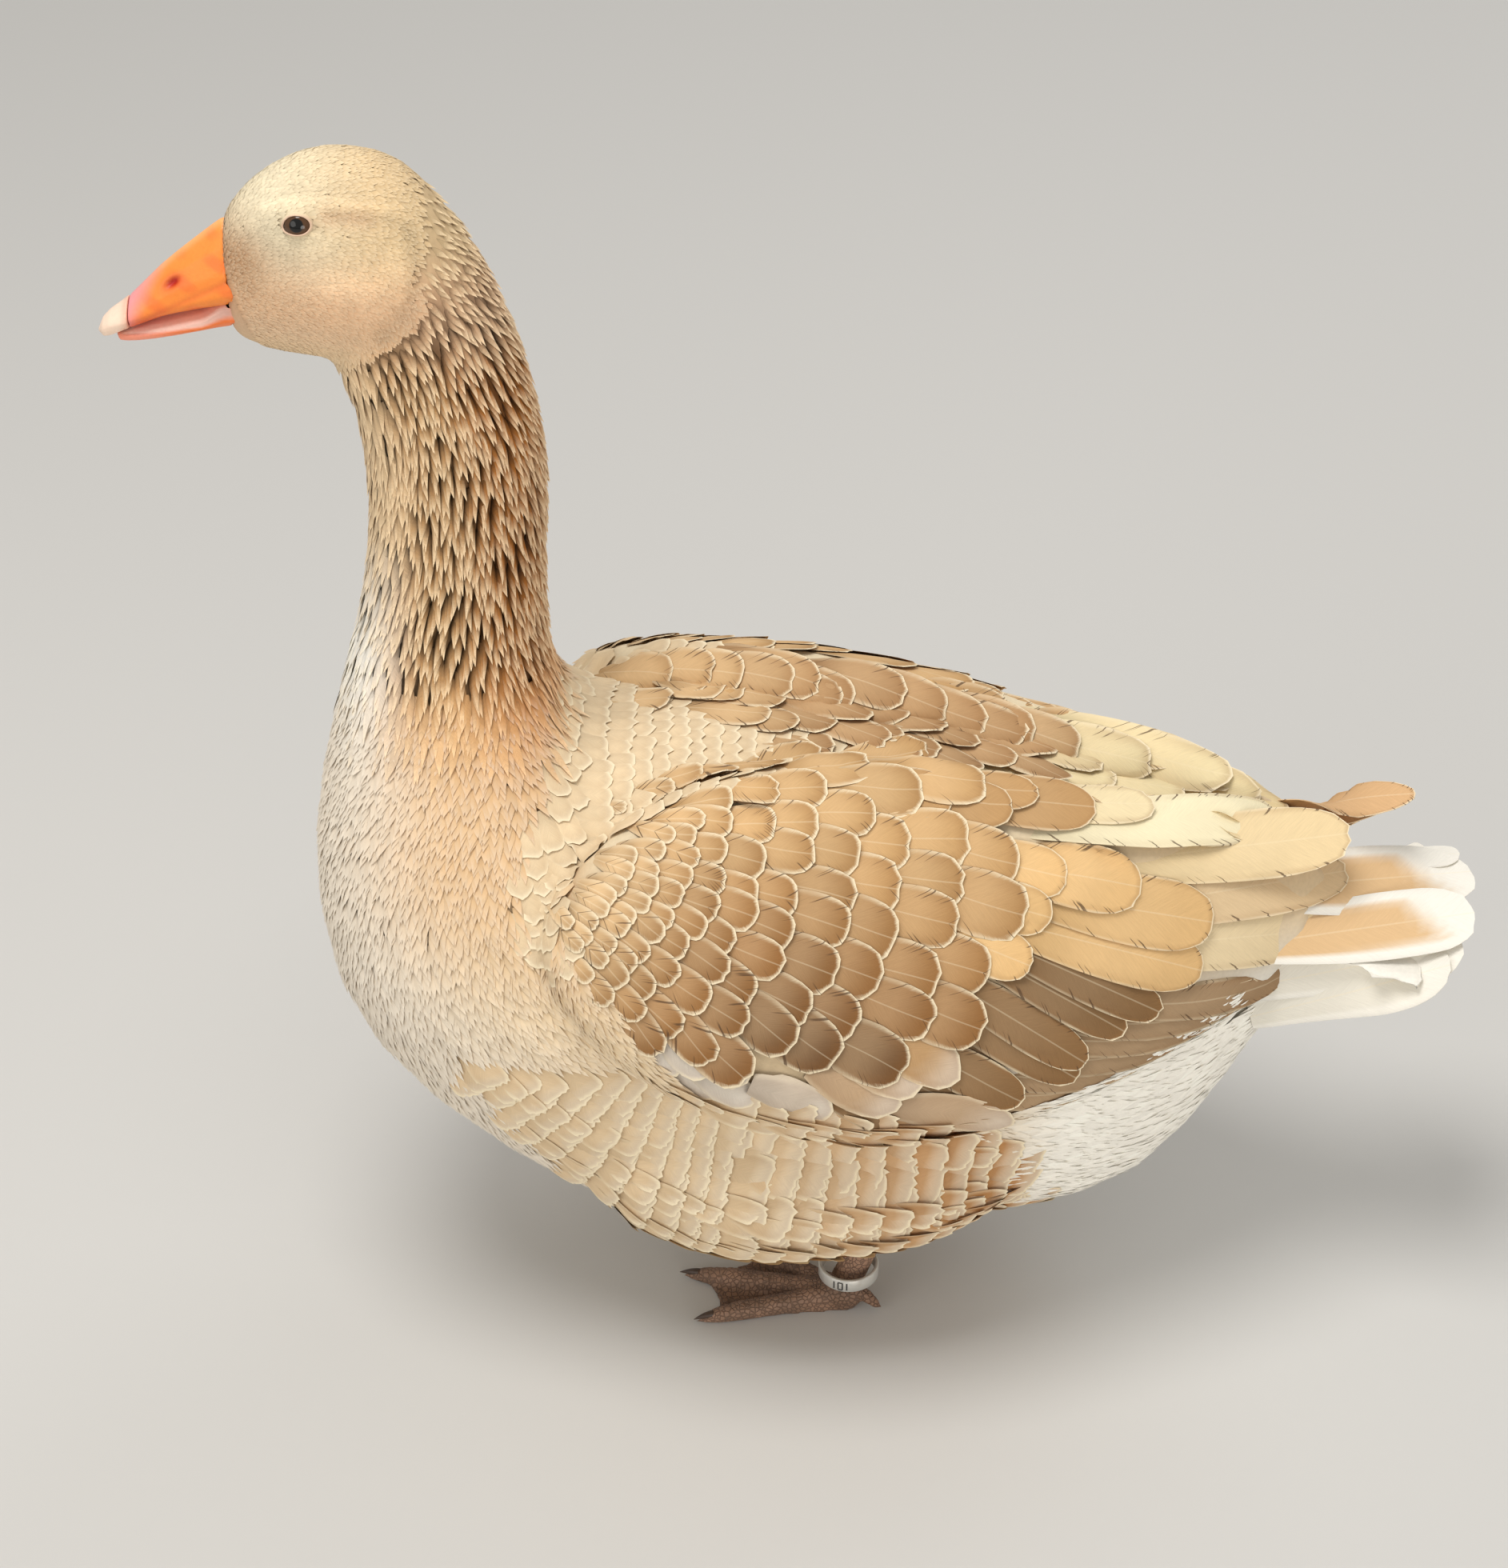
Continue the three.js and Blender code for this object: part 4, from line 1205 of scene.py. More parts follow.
# ---- Bill ----
ORANGE, DEEP_ORANGE, RED, NOSTRIL_RED = tone("#f58b35"), tone("#ee6b2e"), tone("#d6492a"), tone("#b3200f")
RIDGE_HIGHLIGHT, PINK_TIP = tone("#fbb878"), tone("#ef9aa2")
LOWER, LOWER_TIP, GUM, GUM_SHADE = tone("#f07832"), tone("#f29478"), tone("#f8c8b8"), tone("#c08c7c")
NAIL, NAIL_EDGE = tone("#f6d9c2"), tone("#e9b9a0")
NOSTRIL = np.array([8.0, -282.0, 552.0])
SLANT = unit(np.array([0.0, -0.80, -0.60]))
ROOT_IN_FACE = 5.0
horn = tinted_material("bill", scale=700.0, depth=0.08, roughness=0.42, bump=0.0003)


def bill_piece(name, voxel, paint):
    """A part of the bill, shaped and coloured by paint, with its root drawn into the face."""
    verts, tris = remeshed(*node_arrays(name), voxel, 6)
    verts, tones = paint(verts, vertex_normals(verts, tris))
    verts[:, 1] += ROOT_IN_FACE * ramp(verts[:, 1], -260, -257)
    piece(name + "_horn", verts, tris, horn, [name], tones=tones)


def along_bill(verts):
    """From 0 at the bill's root to 1 near its tip, and the height over the line where its halves meet."""
    share = np.clip((-verts[:, 1] - 256) / 62, 0, 1)
    return share, verts[:, 2] - (536.0 - 12.0 * share)


def upper_bill(verts, normals):
    away = np.concatenate([np.abs(verts[:, :1]), verts[:, 1:]], 1) - NOSTRIL
    along, up = away @ SLANT, away @ np.cross(SLANT, (1.0, 0.0, 0.0))
    on_side = ramp(np.abs(verts[:, 0]), 2, 5)
    hole = bell(along, 0.0, 3.6) * bell(up, 0.0, 1.6) * on_side
    lip = bell(along, 0.0, 6.0) * bell(up, 0.0, 3.2) * on_side
    share, above = along_bill(verts)
    groove = bell(above, 4.5, 1.3) * ramp(np.abs(verts[:, 0]), 4, 8)
    crease = bell(above, 19 - 20 * share, 1.6) * on_side * (1 - ramp(share, 0.5, 0.7))
    verts = verts + normals * (0.7 * lip - 2.4 * hole - 0.35 * groove - 0.3 * crease)[:, None]
    x, y, z = verts.T
    streak = np.sin(y * 0.21 + z * 0.33) * np.sin(y * 0.13 - z * 0.19 + 1.0)
    tones = mix(ORANGE, DEEP_ORANGE, ramp(streak, 0.0, 0.9) * 0.55)
    reddened = 0.75 * (1 - ramp(above, 2.0, 12.0)) * ramp(share, 0.2, 0.7) + 0.3 * crease + 0.45 * lip
    tones = mix(tones, RED, reddened)
    # painted highlight: the bill's ridge is lightened where it faces up
    tones = mix(tones, RIDGE_HIGHLIGHT, 0.7 * bell(x, 0.0, 3.5) * ramp(normals[:, 2], 0.3, 0.8))
    tones = mix(tones, PINK_TIP, ramp(share + 0.01 * above, 0.7, 0.9) * 0.95)
    return verts, mix(tones, NOSTRIL_RED, np.clip(1.3 * hole, 0, 1))


def lower_bill(verts, normals):
    share, above = along_bill(verts)
    thick = 3.0 - 1.4 * share
    gums = (1 - ramp(-above, thick - 0.5, thick + 0.5)) * ramp(share, -0.01, 0.06)
    verts = verts - normals * (0.9 * gums * (1 - ramp(share, 0.75, 0.95)))[:, None]
    verts[:, 2] += 4.6 * ramp(verts[:, 1], -272, -259) * (1 - ramp(-above, 0.5, 6))
    tones = mix(LOWER, LOWER_TIP, ramp(share, 0.3, 0.7))
    # painted shade: the pale gum band darkens towards the gape at its rear
    return verts, mix(tones, mix(GUM, GUM_SHADE, (1 - ramp(share, 0.02, 0.3)) * 0.5), gums)


def nail(verts, normals):
    return verts, mix(NAIL, NAIL_EDGE, ramp(verts[:, 1], -308, -303))


bill_piece("bill_upper", 0.8, upper_bill)
bill_piece("bill_lower", 0.8, lower_bill)
bill_piece("bill_nail", 0.6, nail)

# ---- Wings ----
SHOULDER_Y = -181.6
# radius of the tips round the shoulder, first and last angle below level, width, length
COVERT_ROWS = [
    (94, -6, 53, 9, 19), (104, -7, 53, 10, 21), (116, -8, 53, 11, 24), (129, -8, 52.5, 13, 28),
    (144, -7, 52, 16, 33), (161, -6, 51.5, 19, 38), (181, -5, 48.5, 22, 44), (203, -4.5, 44.5, 25, 48),
    (227, -4, 40, 28, 52), (252, -3, 34, 29, 55), (276, 8, 28, 29, 58),
]
# y and d of the tip, angle below level, length, width
OUTER_PRIMARIES = [
    (101, 150, -22, 90, 18), (123, 141, -25, 95, 18), (145, 130, -28, 100, 18), (161, 120, -29, 105, 18),
    (176, 110, -30, 110, 18), (190, 101, -30, 110, 18), (202, 93, -30, 110, 18), (213, 86, -28, 110, 18),
]
SECONDARIES = [
    (20, 160, 18, 50, 20), (48, 160, 22, 55, 22), (74, 152, 24, 66, 22), (91, 145, 27, 73, 22),
    (116, 134, 29, 87, 23), (120, 127, 31, 87, 22), (138, 113, 29, 84, 21), (154, 104, 24, 87, 22),
]
TERTIALS = [
    (230, 67, -5, 109, 31), (240, 39, -10, 130, 31), (241, 22, -7, 125, 34), (209, 16, 0, 120, 29),
    (151, 9, 2, 75, 23),
]
FAR_TERTIALS = [(230, 67, -5, 109, 31), (240, 42, -8, 130, 31), (232, 29, -5, 120, 30)]
TERTIAL_COVERTS = [
    (173, 85, 14, 95, 31), (178, 63, 9, 87, 34), (145, 47, 10, 69, 31), (111, 43, 14, 55, 26),
    (104, 61, 16, 55, 24), (95, 83, 22, 55, 24),
]
SCAPULARS = [
    (124, 11, 7, 80, 29), (98, 4, 4, 62, 22), (86, 11, 6, 66, 26), (59, 7, 8, 62, 29), (28, 2, 6, 55, 26),
]
AXILLARS = [
    (-62, 155, 34, 26, 15), (-46, 157, 32, 28, 15), (-28, 158, 28, 30, 16), (-8, 162, 24, 34, 17),
    (-66, 147, 48, 28, 15), (-50, 145, 40, 30, 16), (-32, 147, 34, 32, 17), (-67, 134, 52, 28, 15),
    (-52, 134, 45, 28, 16), (-34, 136, 38, 32, 17), (86, 154, 12, 60, 18), (73, 160, 16, 60, 18),
    (52, 162, 18, 52, 18), (34, 163, 22, 48, 18), (14, 166, 24, 50, 18), (4, 152, 26, 40, 18),
    (34, 149, 28, 44, 20), (45, 139, 32, 44, 22), (62, 134, 28, 48, 22),
]
FAR_LONGEST = [
    (199, 7, 14, 110, 27), (186, -2, 16, 100, 26), (165, 5, 12, 90, 26), (150, -9, 15, 85, 25),
    (134, -1, 12, 76, 25),
]
# y, then d of the upper and lower edge of the far wing, as the near side's view shows it
FAR_EDGES = [
    (-84, -59, -40), (-47, -59, -35), (-10, -55, -16), (33, -46, -9), (77, -33, -5), (104, -25, -1),
    (125, -22, 0), (166, -4, 4),
]
PRIMARY_TONE, SECONDARY_TONE, SCAPULAR_TONE = tone("#a38462"), tone("#86643f"), tone("#bf9665")
TERTIAL_TONES = np.array([tone(c) for c in ("#ead4ab", "#e2c59b", "#edd4a6", "#f7ebc6", "#f2dfb4")])
TERTIAL_COVERT_TONE = tone("#e0b880")
AXILLAR_FRONT, AXILLAR_REAR = tone("#ded3c4"), tone("#c49c6d")
COVERT_SMALL, COVERT_MIDDLE, COVERT_LOW, COVERT_LARGE = (
    tone(c) for c in ("#dcba8c", "#cda26c", "#956533", "#6f4722"))
FAR_FRONT, FAR_MIDDLE, FAR_REAR = tone("#dcb685"), tone("#b48c61"), tone("#f4e2b4")


def quill_coat(name, side, drape):
    """The long feathers of a wing, the lowest layer first."""
    coat = Coat(
        Shape(along=20, across=15, widest=0.72, point=2.0, root=0.5, jag=0.006), solid=0.5, patch=0.012)

    def lay(rows_of_table, colour, low, high, rim, roll, bend=0.0):
        """Lays the feathers of a table, each over the one before."""
        table = np.array(rows_of_table, float).T
        axis, up, kept = laid_in_view(outer, side, table, bend)
        base = vary(np.broadcast_to(colour, (len(kept), 3))[kept], 0.07)
        colours = graded(base * 0.8, mix(base, CREAM, 0.08), base)
        coat.add(
            axis, up, width=table[4, kept], low=low, high=high, colours=colours, rim=rim,
            roll=roll * side, cup=0.05, drape=drape)

    lay(OUTER_PRIMARIES, PRIMARY_TONE, low=-4.0, high=-3.4, rim=0.8, roll=0.0, bend=-25.0)
    lay(SECONDARIES, SECONDARY_TONE, low=-4.0, high=-1.2, rim=1.0, roll=0.06)
    tertials = TERTIALS if side > 0 else FAR_TERTIALS
    lay(tertials, TERTIAL_TONES[: len(tertials)], low=-4.0, high=-1.2, rim=0.9, roll=-0.09)
    lay(TERTIAL_COVERTS, TERTIAL_COVERT_TONE, low=-3.6, high=-0.3, rim=0.9, roll=-0.07)
    if side > 0:
        lay(SCAPULARS, SCAPULAR_TONE, low=-3.2, high=0.3, rim=0.8, roll=-0.07)
    coat.finish(name, quills, "quill")


def axillar_coat(name, side, drape):
    """The loose pale feathers under the wing's lower edge."""
    coat = Coat(Shape(along=9, across=9, widest=0.6, point=2.0, root=0.5, jag=0.02), patch=0.006)
    table = np.array(AXILLARS, float).T
    axis, up, kept = laid_in_view(outer, side, table, RNG.uniform(-8, 8, table.shape[1]))
    y, width = table[0, kept], table[4, kept] * 1.2
    base = mix(AXILLAR_FRONT, AXILLAR_REAR, ramp(y, -15, 50) * RNG.uniform(0.6, 1.0, len(y)))
    colours = graded(base * 0.7, base * 0.9, mix(base, WHITE, 0.5), start=0.6)
    coat.add(
        axis, up, width=width, low=-3.6, high=-1.2, colours=colours, rim=0.8, roll=0.05 * side, cup=0.1,
        drape=drape)
    coat.finish(name, scallop, "plumage")


def covert_table():
    """The places, angles, lengths and widths of coverts in rows round the shoulder, the hindmost first."""
    parts = []
    for index, (radius, first, last, width, length) in reversed(list(enumerate(COVERT_ROWS))):
        count = int(math.radians(last - first) * radius / (0.72 * width))
        steps = np.arange(count) + 0.5 * (index % 2) + RNG.uniform(-0.2, 0.2, count)
        angles = first + (last - first) * steps / count
        radii = radius + RNG.uniform(-0.09, 0.09, count) * length
        y = SHOULDER_Y + radii * np.cos(np.radians(angles))
        d = radii * np.sin(np.radians(angles))
        slopes = angles * 0.92 + RNG.uniform(-6, 6, count)
        parts.append([y, d, slopes, np.full(count, length), width * RNG.uniform(0.9, 1.08, count)])
    table = np.concatenate(parts, 1)
    within = [inside(WING_OUTLINE, table[0], table[1] + aside) for aside in (0.0, 7.0, -7.0)]
    return table[:, np.any(within, 0)]


def covert_coat(name, side, drape):
    coat = Coat(Shape(along=12, across=11, widest=0.68, point=2.4, root=0.35, jag=0.014), patch=0.006)
    table = covert_table()
    axis, up, kept = laid_in_view(outer, side, table, RNG.uniform(-8, 8, table.shape[1]), 0.36)
    y, d, _, _, width = table[:, kept]
    fall = np.degrees(np.arctan2(d, y - SHOULDER_Y))
    far = np.hypot(y - SHOULDER_Y, d)
    base = mix(COVERT_SMALL, COVERT_MIDDLE, ramp(far, 95, 150))
    base = mix(base, COVERT_LOW, ramp(fall, 3, 28) * ramp(far, 90, 180))
    base = mix(base, COVERT_LARGE, ramp(fall, 20, 34) * ramp(far, 170, 225))
    base = vary(base, 0.13)
    colours = graded(base * 0.75, mix(base, PALE_BUFF, 0.26), base * 0.84, start=0.6)
    high = 0.3 if side > 0 else -1.0
    coat.add(
        axis, up, width=width, low=-3.4, high=high, colours=colours, rim=0.9, roll=0.045 * side, cup=0.1,
        drape=drape)
    coat.finish(name, crisp, "plumage")


def wing(side_name, side, drape):
    quill_coat("quills_" + side_name, side, drape)
    axillar_coat("axillars_" + side_name, side, drape)
    covert_coat("coverts_" + side_name, side, drape)


def far_covert_table():
    """The far wing's feathers along the back: the longest, then coverts in slanted columns."""
    at, upper, lower = np.array(FAR_EDGES, float).T
    places = []
    for column, start in reversed(list(enumerate(np.arange(-70.0, 122.0, 17.0)))):
        top, bottom = np.interp(start, at, upper), np.interp(start, at, lower)
        d = np.arange(bottom - 5.0 * (column % 2), top + 4.0, -10.0)
        places.append([start + 5.0 * np.sin(d * 1.7 + column) + 0.3 * (d - top), d])
    y, d = np.concatenate(places, 1)
    slopes, lengths, widths = 5 + 17 * ramp(y, -60, 30), 36 + 18 * ramp(y, -60, 20), np.full(len(y), 23.0)
    return np.concatenate([np.array(FAR_LONGEST, float).T, [y, d, slopes, lengths, widths]], 1)


def far_covert_coat(drape):
    coat = Coat(Shape(along=12, across=11, widest=0.68, point=2.2, root=0.4, jag=0.014), patch=0.006)
    table = far_covert_table()
    axis, up, kept = laid_in_view(outer, 1, table, RNG.uniform(-5, 5, table.shape[1]))
    y, width = table[0, kept], table[4, kept]
    base = mix(mix(FAR_FRONT, FAR_MIDDLE, ramp(y, -40, 15)), FAR_REAR, ramp(y, 112, 134))
    base = vary(base, 0.1)
    colours = graded(base * 0.75, mix(base, PALE_BUFF, 0.2), base * 0.88, start=0.6)
    coat.add(
        axis, up, width=width, low=-3.0, high=0.4, colours=colours, rim=0.9, roll=-0.05, cup=0.1,
        drape=drape)
    coat.finish("coverts_over_back", crisp, "plumage")


drape_left = Drape(1.0)
wing("right", -1.0, Drape(-1.0, drape_left))
far_covert_coat(drape_left)
wing("left", 1.0, drape_left)

# ---- Tips of the primaries ----
# y, then x and z of the lower and upper edge of the folded primaries of the left wing
PRIMARY_EDGES = (
    (120, 92, 176, 70, 225), (165, 70, 184, 46, 240), (205, 47, 194, 28, 256), (235, 34, 216, 18, 265),
    (262, 21, 240, 11, 270), (286, 14, 260, 8, 271),
)
PRIMARY_TIP_TONE = tone("#cfa87c")
PRIMARY_LENGTH, PRIMARY_STEP, PRIMARY_COUNT = 100.0, 9.0, 5
LONGEST_TIP = 284.0
TIP_UP = np.array([-0.34, 0.1, 0.94])
edges = np.array(PRIMARY_EDGES, float).T
# side, y of the longest tip, depth of the tips under the wing's line, width
for side_name, side, longest_tip, sunk, width in (
    ("left", 1.0, 247.0, 6.0, 20.0), ("right", -1.0, LONGEST_TIP, 2.0, 26.0),
):
    coat = Coat(
        Shape(along=20, across=15, widest=0.6, point=1.7, root=0.8, jag=0.004), solid=0.5, patch=0.012)
    flip = np.array([side, 1.0, 1.0])
    for order in range(PRIMARY_COUNT):
        level = 0.3 + 0.13 * order
        tip = longest_tip - PRIMARY_STEP * (PRIMARY_COUNT - 1 - order)
        y = np.linspace(tip - PRIMARY_LENGTH, tip, STATIONS)
        x0, z0, x1, z1 = (np.interp(y + LONGEST_TIP - longest_tip, edges[0], edge) for edge in edges[1:])
        out = unit(np.stack([z1 - z0, np.zeros(STATIONS), x0 - x1], -1))
        share = ramp(y, tip - 60, tip - 15)[:, None]
        axis = np.stack([x0 + (x1 - x0) * level, y, z0 + (z1 - z0) * level], -1)
        axis = axis + out * (1 - share) * -4.0 + TIP_UP * share * (0.8 * order - sunk)
        out = unit(out * (1 - share) + TIP_UP * share)
        base = vary(PRIMARY_TIP_TONE[None], 0.05)
        colours = graded(base * 0.8, base, base * 1.08)
        coat.add(
            (axis * flip)[None], (out * flip)[None], width=width, low=0.0, high=0.0, colours=colours,
            rim=0.8, cup=0.12)
    coat.finish("primary_tips_" + side_name, quills, "quill", ["primaries_" + side_name])

# ---- Tail ----
BUFF_QUILL, WHITE_QUILL, TAIL_COVERT = tone("#dcb98c"), tone("#e9e4d7"), tone("#e6e1d4")
# y and d of the tip, angle below level, length and width, and the colour of the middle
TAIL_QUILLS = [
    ((287, 83, -14, 95, 30), WHITE_QUILL), ((292, 73, -11, 100, 32), WHITE_QUILL),
    ((297, 60, -7, 105, 36), BUFF_QUILL), ((295, 42, -3, 108, 38), BUFF_QUILL),
]
TO_VIEW = unit(-LOOK + np.array([0.0, 0.0, 0.6]))
coat = Coat(Shape(along=8, across=7, widest=0.6, point=1.8, root=0.5, jag=0.03), patch=0.005)
points, lies, _, _ = rows(
    rump, start=2, end=130, along=8.0, across=9.0, keep=tail_covert_roots, spacing=0.7, line=tail_line)
n = len(points)
length = 48 * RNG.uniform(0.9, 1.1, n)
axis, up = laid(rump, points, lies, length=length, bow=RNG.uniform(-0.05, 0.05, n))
base = vary(every(TAIL_COVERT, n), 0.03)
high = RNG.uniform(-2.2, -1.6, n)
coat.add(axis, up, width=17.0, low=-3.2, high=high, colours=graded(base * 0.9, base, base), cup=0.12)
coat.finish("tail_coverts", fluff, "tail")

coat = Coat(Shape(along=20, across=15, widest=0.8, point=2.0, root=0.5, jag=0.005), solid=0.4, patch=0.012)
for side, count in ((-1.0, 3), (1.0, 4)):
    for order, (place, middle) in enumerate(TAIL_QUILLS[:count]):
        axis, up, _ = laid_in_view(rump, side, np.array(place, float)[:, None], 0.0)
        up = unit(up + 0.5 * TO_VIEW * (side, 1.0, 1.0))
        height = 0.6 * order + 0.4 * side
        colours = edged(middle[None], WHITE[None])
        coat.add(
            axis, up, width=place[4], low=height - 0.2, high=height + 1.0, colours=colours,
            roll=-0.03 * side, cup=0.06)
coat.finish("tail_feathers", tail_vane, "tail", ["tail"])
core_verts, core_tris = remeshed(*node_arrays("tail"), 2.5, 10)
core_verts = grown(core_verts, core_tris, -1.2)
core_verts[:, 1] -= 0.2 * np.maximum(core_verts[:, 1] - 210.0, 0.0)
core_verts[:, 2] -= 1.8
piece("tail_core", core_verts, core_tris, down, tones=every(WHITE, len(core_verts)))

# ---- Shanks, feet and claws ----
WEB_BROWN, TOE_BROWN, CLAW, DIRT = tone("#8a6a55"), tone("#a5816a"), tone("#4a3a30"), tone("#5f4c3e")
# where the middle of the left shank meets the floor
LEG = np.array([52.0, 14.0, 0.0])
# angle in degrees and length of each toe, and how far all three are turned
TOES = ((-27, 62), (0, 84), (25, 76))
TOE_TURN = -13
SCUTE, SHANK_SCUTE = 3.4, 3.6
CLAW_RINGS, CLAW_AROUND, CLAW_LENGTH, CLAW_RADIUS = 9, 12, 10.0, 2.1
UPWARDS = np.array([0.0, 0.0, 1.0])


def scaly_material():
    m = Nodes("scales")
    cell_place = {"Vector": m.place(), "Scale": 420.0}
    cells = m.node("ShaderNodeTexVoronoi", cell_place, feature="DISTANCE_TO_EDGE").outputs["Distance"]
    groove = m.step(cells, 0.0, 0.16)
    dirt = m.step(m.noise(scale=45.0, detail=4.0), 0.38, 0.68)
    shade = m.grey(m.plus(0.55, m.times(groove, 0.5)))
    colour = m.blend(1.0, m.attribute("tone")["Color"], shade, "MULTIPLY")
    colour = m.blend(m.times(dirt, 0.55), colour, DIRT)
    height = m.plus(groove, m.times(m.noise(scale=900.0, detail=3.0), 0.3))
    return m.finish(colour, roughness=0.62, bump=height, strength=0.7, distance=0.0006)


def plates(reach, size):
    """The height of plates one behind another, from -0.6 at their edges to 0.4 at their middles."""
    return np.abs(np.sin(reach * math.pi / size)) ** 0.6 - 0.6


def foot_relief(verts, normals, side):
    """How far plates on the toes and folds of the web stand out, and their colours."""
    local = verts * (side, 1, 1) - LEG
    angle = np.degrees(np.arctan2(local[:, 0], -local[:, 1]))
    reach = np.hypot(local[:, 0], local[:, 1])
    near = np.min([np.abs(np.radians(angle - toe - TOE_TURN)) * reach for toe, _ in TOES], 0)
    on_toe = 1 - ramp(near, 4.0, 8.0)
    lift = 0.35 * plates(reach, SCUTE) * on_toe * ramp(normals[:, 2], 0.2, 0.6) * ramp(reach, 8, 14)
    rays = 0.25 * np.sin(np.radians(angle) * 42) * (1 - on_toe) * ramp(normals[:, 2], 0.3, 0.7)
    return lift + rays, mix(WEB_BROWN, TOE_BROWN, on_toe)


def shank_relief(verts, normals, side):
    """How far the plates down the front of the shank stand out, and their colour."""
    lift = 0.3 * plates(verts[:, 2], SHANK_SCUTE) * ramp(-normals[:, 1], 0.0, 0.6)
    return lift, every(TOE_BROWN, len(verts))


def claw(toe, length):
    """Rings of a claw that narrows to a point and bends down, at the end of a toe of the left foot."""
    swing = math.radians(toe + TOE_TURN)
    way = np.array([math.sin(swing), -math.cos(swing), 0.0])
    across = np.array([-way[1], way[0], 0.0])
    t = np.linspace(0, 1, CLAW_RINGS)[:, None, None]
    turn = np.linspace(0, 2 * math.pi, CLAW_AROUND, endpoint=False)[:, None]
    centre = LEG + way * (length - 9 + CLAW_LENGTH * t) + UPWARDS * (4.6 - 1.8 * t**2)
    radius = CLAW_RADIUS * (1 - t**1.6) + 0.12
    return (centre + radius * (np.cos(turn) * across + 0.9 * np.sin(turn) * UPWARDS)).reshape(-1, 3)


scales = scaly_material()
horny = tinted_material("claws", scale=900.0, depth=0.15, roughness=0.4, bump=0.0003)
for side_name, side in SIDES:
    for part, shaped in (("foot", foot_relief), ("shank", shank_relief)):
        name = part + "_" + side_name
        verts, tris = remeshed(*node_arrays(name), 1.3, 4)
        normals = vertex_normals(verts, tris)
        lift, tones = shaped(verts, normals, side)
        verts = verts + normals * (lift * ramp(verts[:, 2], 0.6, 2.5))[:, None]
        piece(name + "_skin", verts, tris, scales, [name], tones=tones)
for side_name, side in SIDES:
    verts = np.concatenate([claw(*toe) for toe in TOES]) * (side, 1, 1)
    ring_count = CLAW_RINGS * CLAW_AROUND
    faces = np.concatenate([grid_faces(CLAW_RINGS, CLAW_AROUND) + i * ring_count for i in range(len(TOES))])
    faces = faces[:, ::-1] if side > 0 else faces
    piece("claws_" + side_name, verts, faces, horny, tones=every(CLAW, len(verts)))

# ---- Leg band, with made-up figures ----
BAND_MIDDLE = np.array([52.0, 16.0])
BAND_OUTER, BAND_INNER, BAND_LOW, BAND_HIGH = 15.0, 13.2, 19.8, 27.2
BAND_GREY, BAND_GRIME = (0.66, 0.65, 0.61), (0.42, 0.38, 0.33)
INK, INK_WORN = (0.02, 0.02, 0.022), (0.09, 0.085, 0.08)
AROUND_BAND = 96
FIGURES = {
    "0": [(0, 0), (1, 0), (1, 2), (0, 2), (0, 0)],
    "1": [(0.5, 0), (0.5, 2)],
}
FIGURES_SHOWN = "101"
FIGURE_SIZE, FIGURE_APART, FIGURE_LOW, FIGURE_TURN = 2.2, 3.3, 21.2, -0.30
FIGURES_HALF = 4.4
STROKE_HALF, STROKE_STEPS, STROKE_LIFT = 0.17, 5, 0.12


def round_band(turn, radius, z):
    """Points at angles round the band's axis."""
    x, y = BAND_MIDDLE[0] + radius * np.cos(turn), BAND_MIDDLE[1] + radius * np.sin(turn)
    return np.stack(np.broadcast_arrays(x, y, z), -1).reshape(-1, 3)


def band_material():
    m = Nodes("band")
    scratch = m.noise(scale=600.0, detail=5.0)
    grime = m.step(m.noise(scale=120.0, detail=4.0), 0.5, 0.75)
    colour = m.blend(m.times(grime, 0.5), BAND_GREY, BAND_GRIME)
    return m.finish(colour, roughness=0.38, bump=scratch, strength=0.3, distance=0.0002, Metallic=0.35)


def ink_material():
    m = Nodes("band_ink")
    return m.finish(m.blend(m.noise(scale=900.0, detail=3.0), INK, INK_WORN), roughness=0.5)


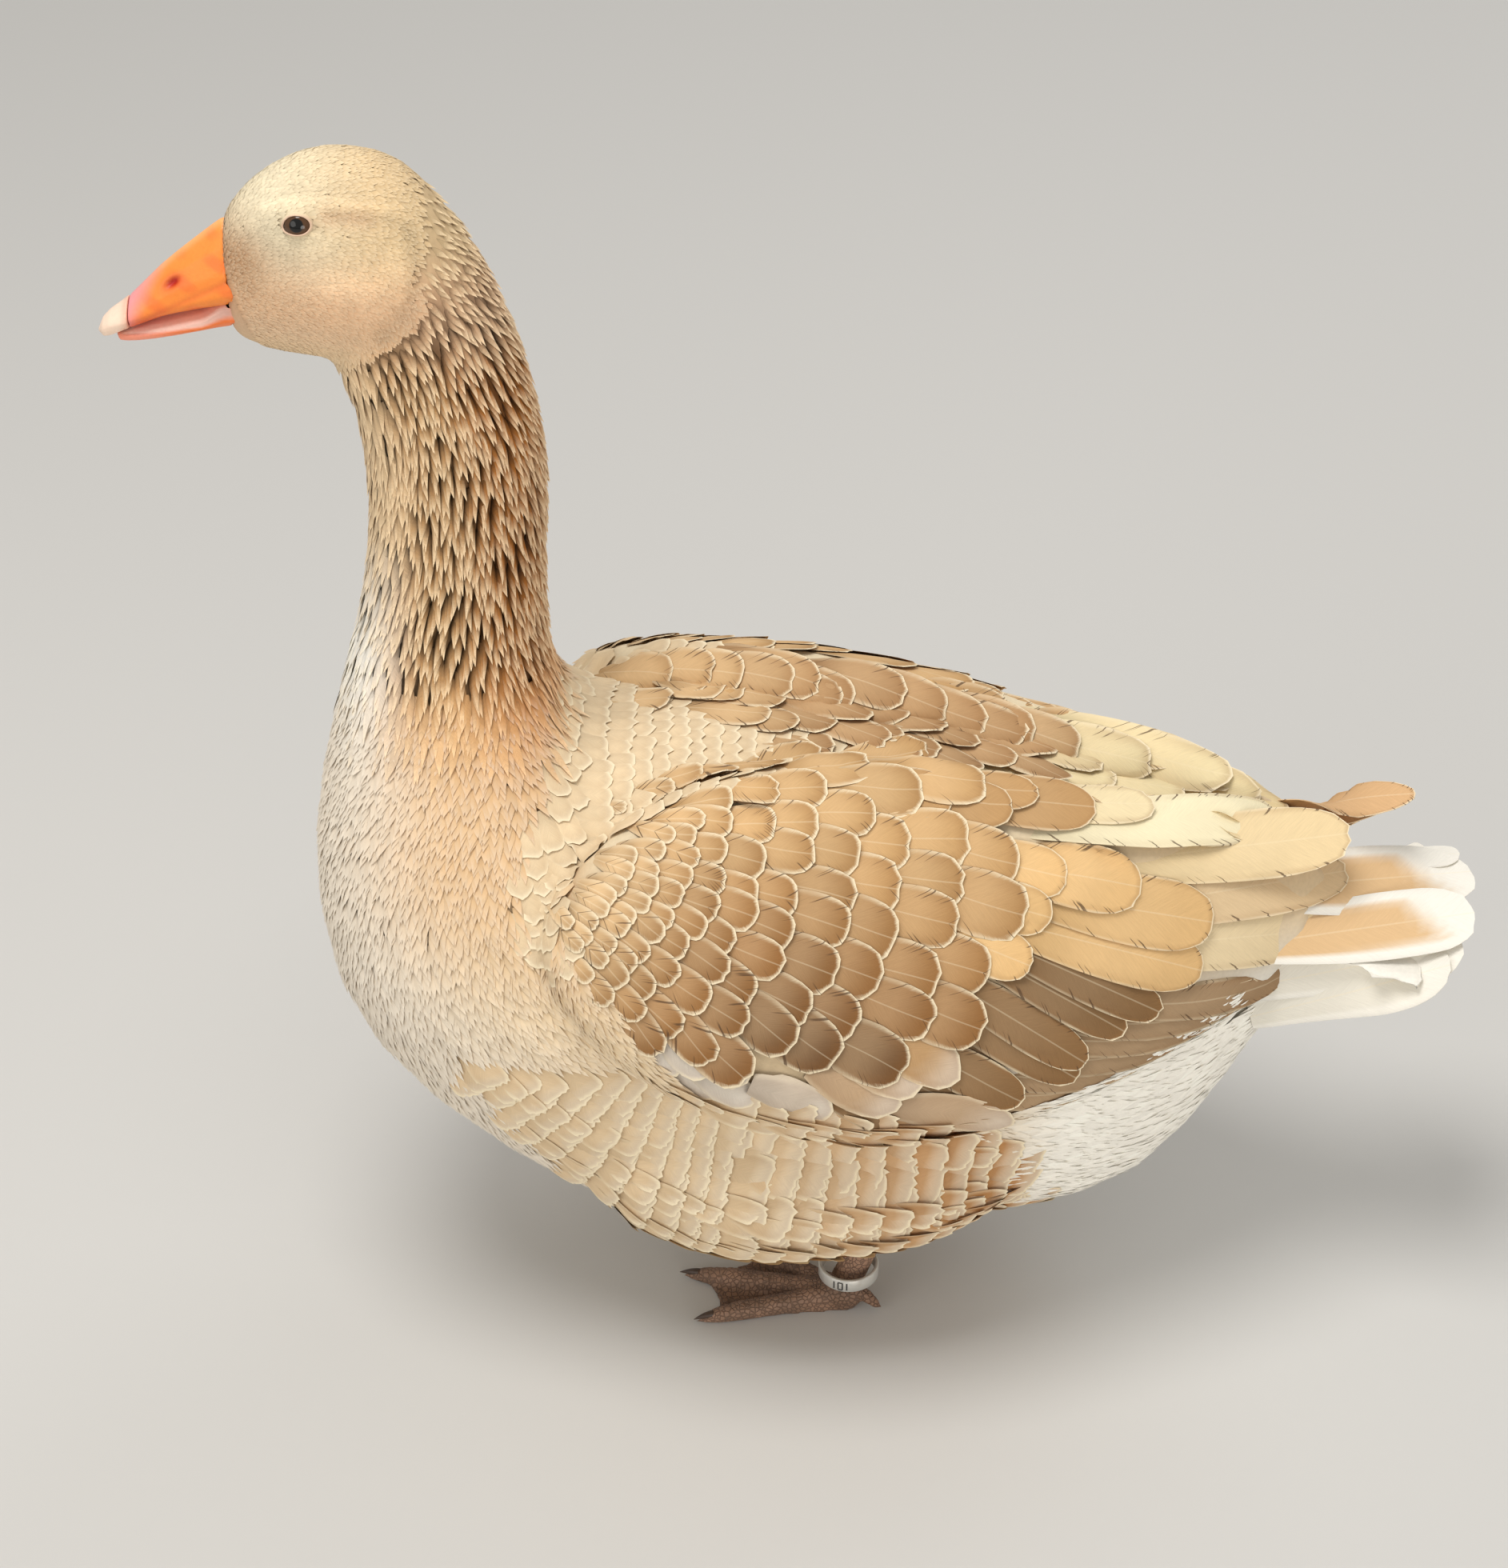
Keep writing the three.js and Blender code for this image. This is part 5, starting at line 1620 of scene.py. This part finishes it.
profile = np.array([
    (BAND_INNER, BAND_LOW + 0.5), (BAND_INNER + 0.4, BAND_LOW), (BAND_OUTER - 0.5, BAND_LOW),
    (BAND_OUTER, BAND_LOW + 0.5), (BAND_OUTER, 23.5), (BAND_OUTER, BAND_HIGH - 0.5),
    (BAND_OUTER - 0.5, BAND_HIGH), (BAND_INNER + 0.4, BAND_HIGH), (BAND_INNER, BAND_HIGH - 0.5),
    (BAND_INNER, BAND_LOW + 0.5),
])
turn = np.linspace(0, 2 * math.pi, AROUND_BAND, endpoint=False)
band = round_band(turn, profile[:, :1], profile[:, 1:])
piece("band_ring", band, grid_faces(len(profile), AROUND_BAND), band_material(), ["leg_band"])

strokes, faces = [], []
ladder = np.array([(k, k + 1, k + 3, k + 2) for k in range(0, 2 * STROKE_STEPS - 2, 2)])
for place, figure in enumerate(FIGURES_SHOWN):
    path = np.array(FIGURES[figure], float)
    for start, end in zip(path[:-1], path[1:]):
        way = unit(end - start)
        aside = np.array([-way[1], way[0]]) * STROKE_HALF
        run = np.linspace(0, 1, STROKE_STEPS)[:, None, None]
        a, b = (start * (1 - run) + end * run + aside * [[-1], [1]]).reshape(-1, 2).T
        along = a * FIGURE_SIZE + place * FIGURE_APART - FIGURES_HALF
        height = FIGURE_LOW + b * FIGURE_SIZE
        faces.append(ladder + 2 * STROKE_STEPS * len(strokes))
        strokes.append(round_band(FIGURE_TURN + along / BAND_OUTER, BAND_OUTER + STROKE_LIFT, height))
piece("band_figures", np.concatenate(strokes), np.concatenate(faces), ink_material())

# ---- Skin ----
# length along the spine and depth of the skin under the form of the solids
DEPTHS = ((NECK_BASE - 60, 3.5), (NECK_BASE, 4.5), (NECK_TOP, 3.5), (NECK_TOP + 22, 0.8))
MOST_OF_THICKNESS = 0.35
PROBE_START, NO_WALL = 0.5, 50.0
length, angle = body_place(outer.verts)
within, _, found = outer.cast(outer.verts - outer.normals * PROBE_START, -outer.normals)
thickness = np.where(found, np.linalg.norm(within - outer.verts, axis=1), NO_WALL)
depth = np.minimum(np.interp(length, *zip(*DEPTHS)), MOST_OF_THICKNESS * thickness)
# painted shade: the skin is darker than the coat over it, and along the neck much darker still where it shows
# between the ridges of locks
furrow_shade = ramp(length, NECK_BASE - 10, NECK_BASE + 20) * (1 - ramp(length, NECK_TOP, NECK_TOP + 25))
tones = body_tone(outer.verts, angle) * (0.85 - 0.45 * furrow_shade)[:, None]
piece("skin", outer.verts - outer.normals * depth[:, None], outer.tris, down, FLESH, tones=tones)
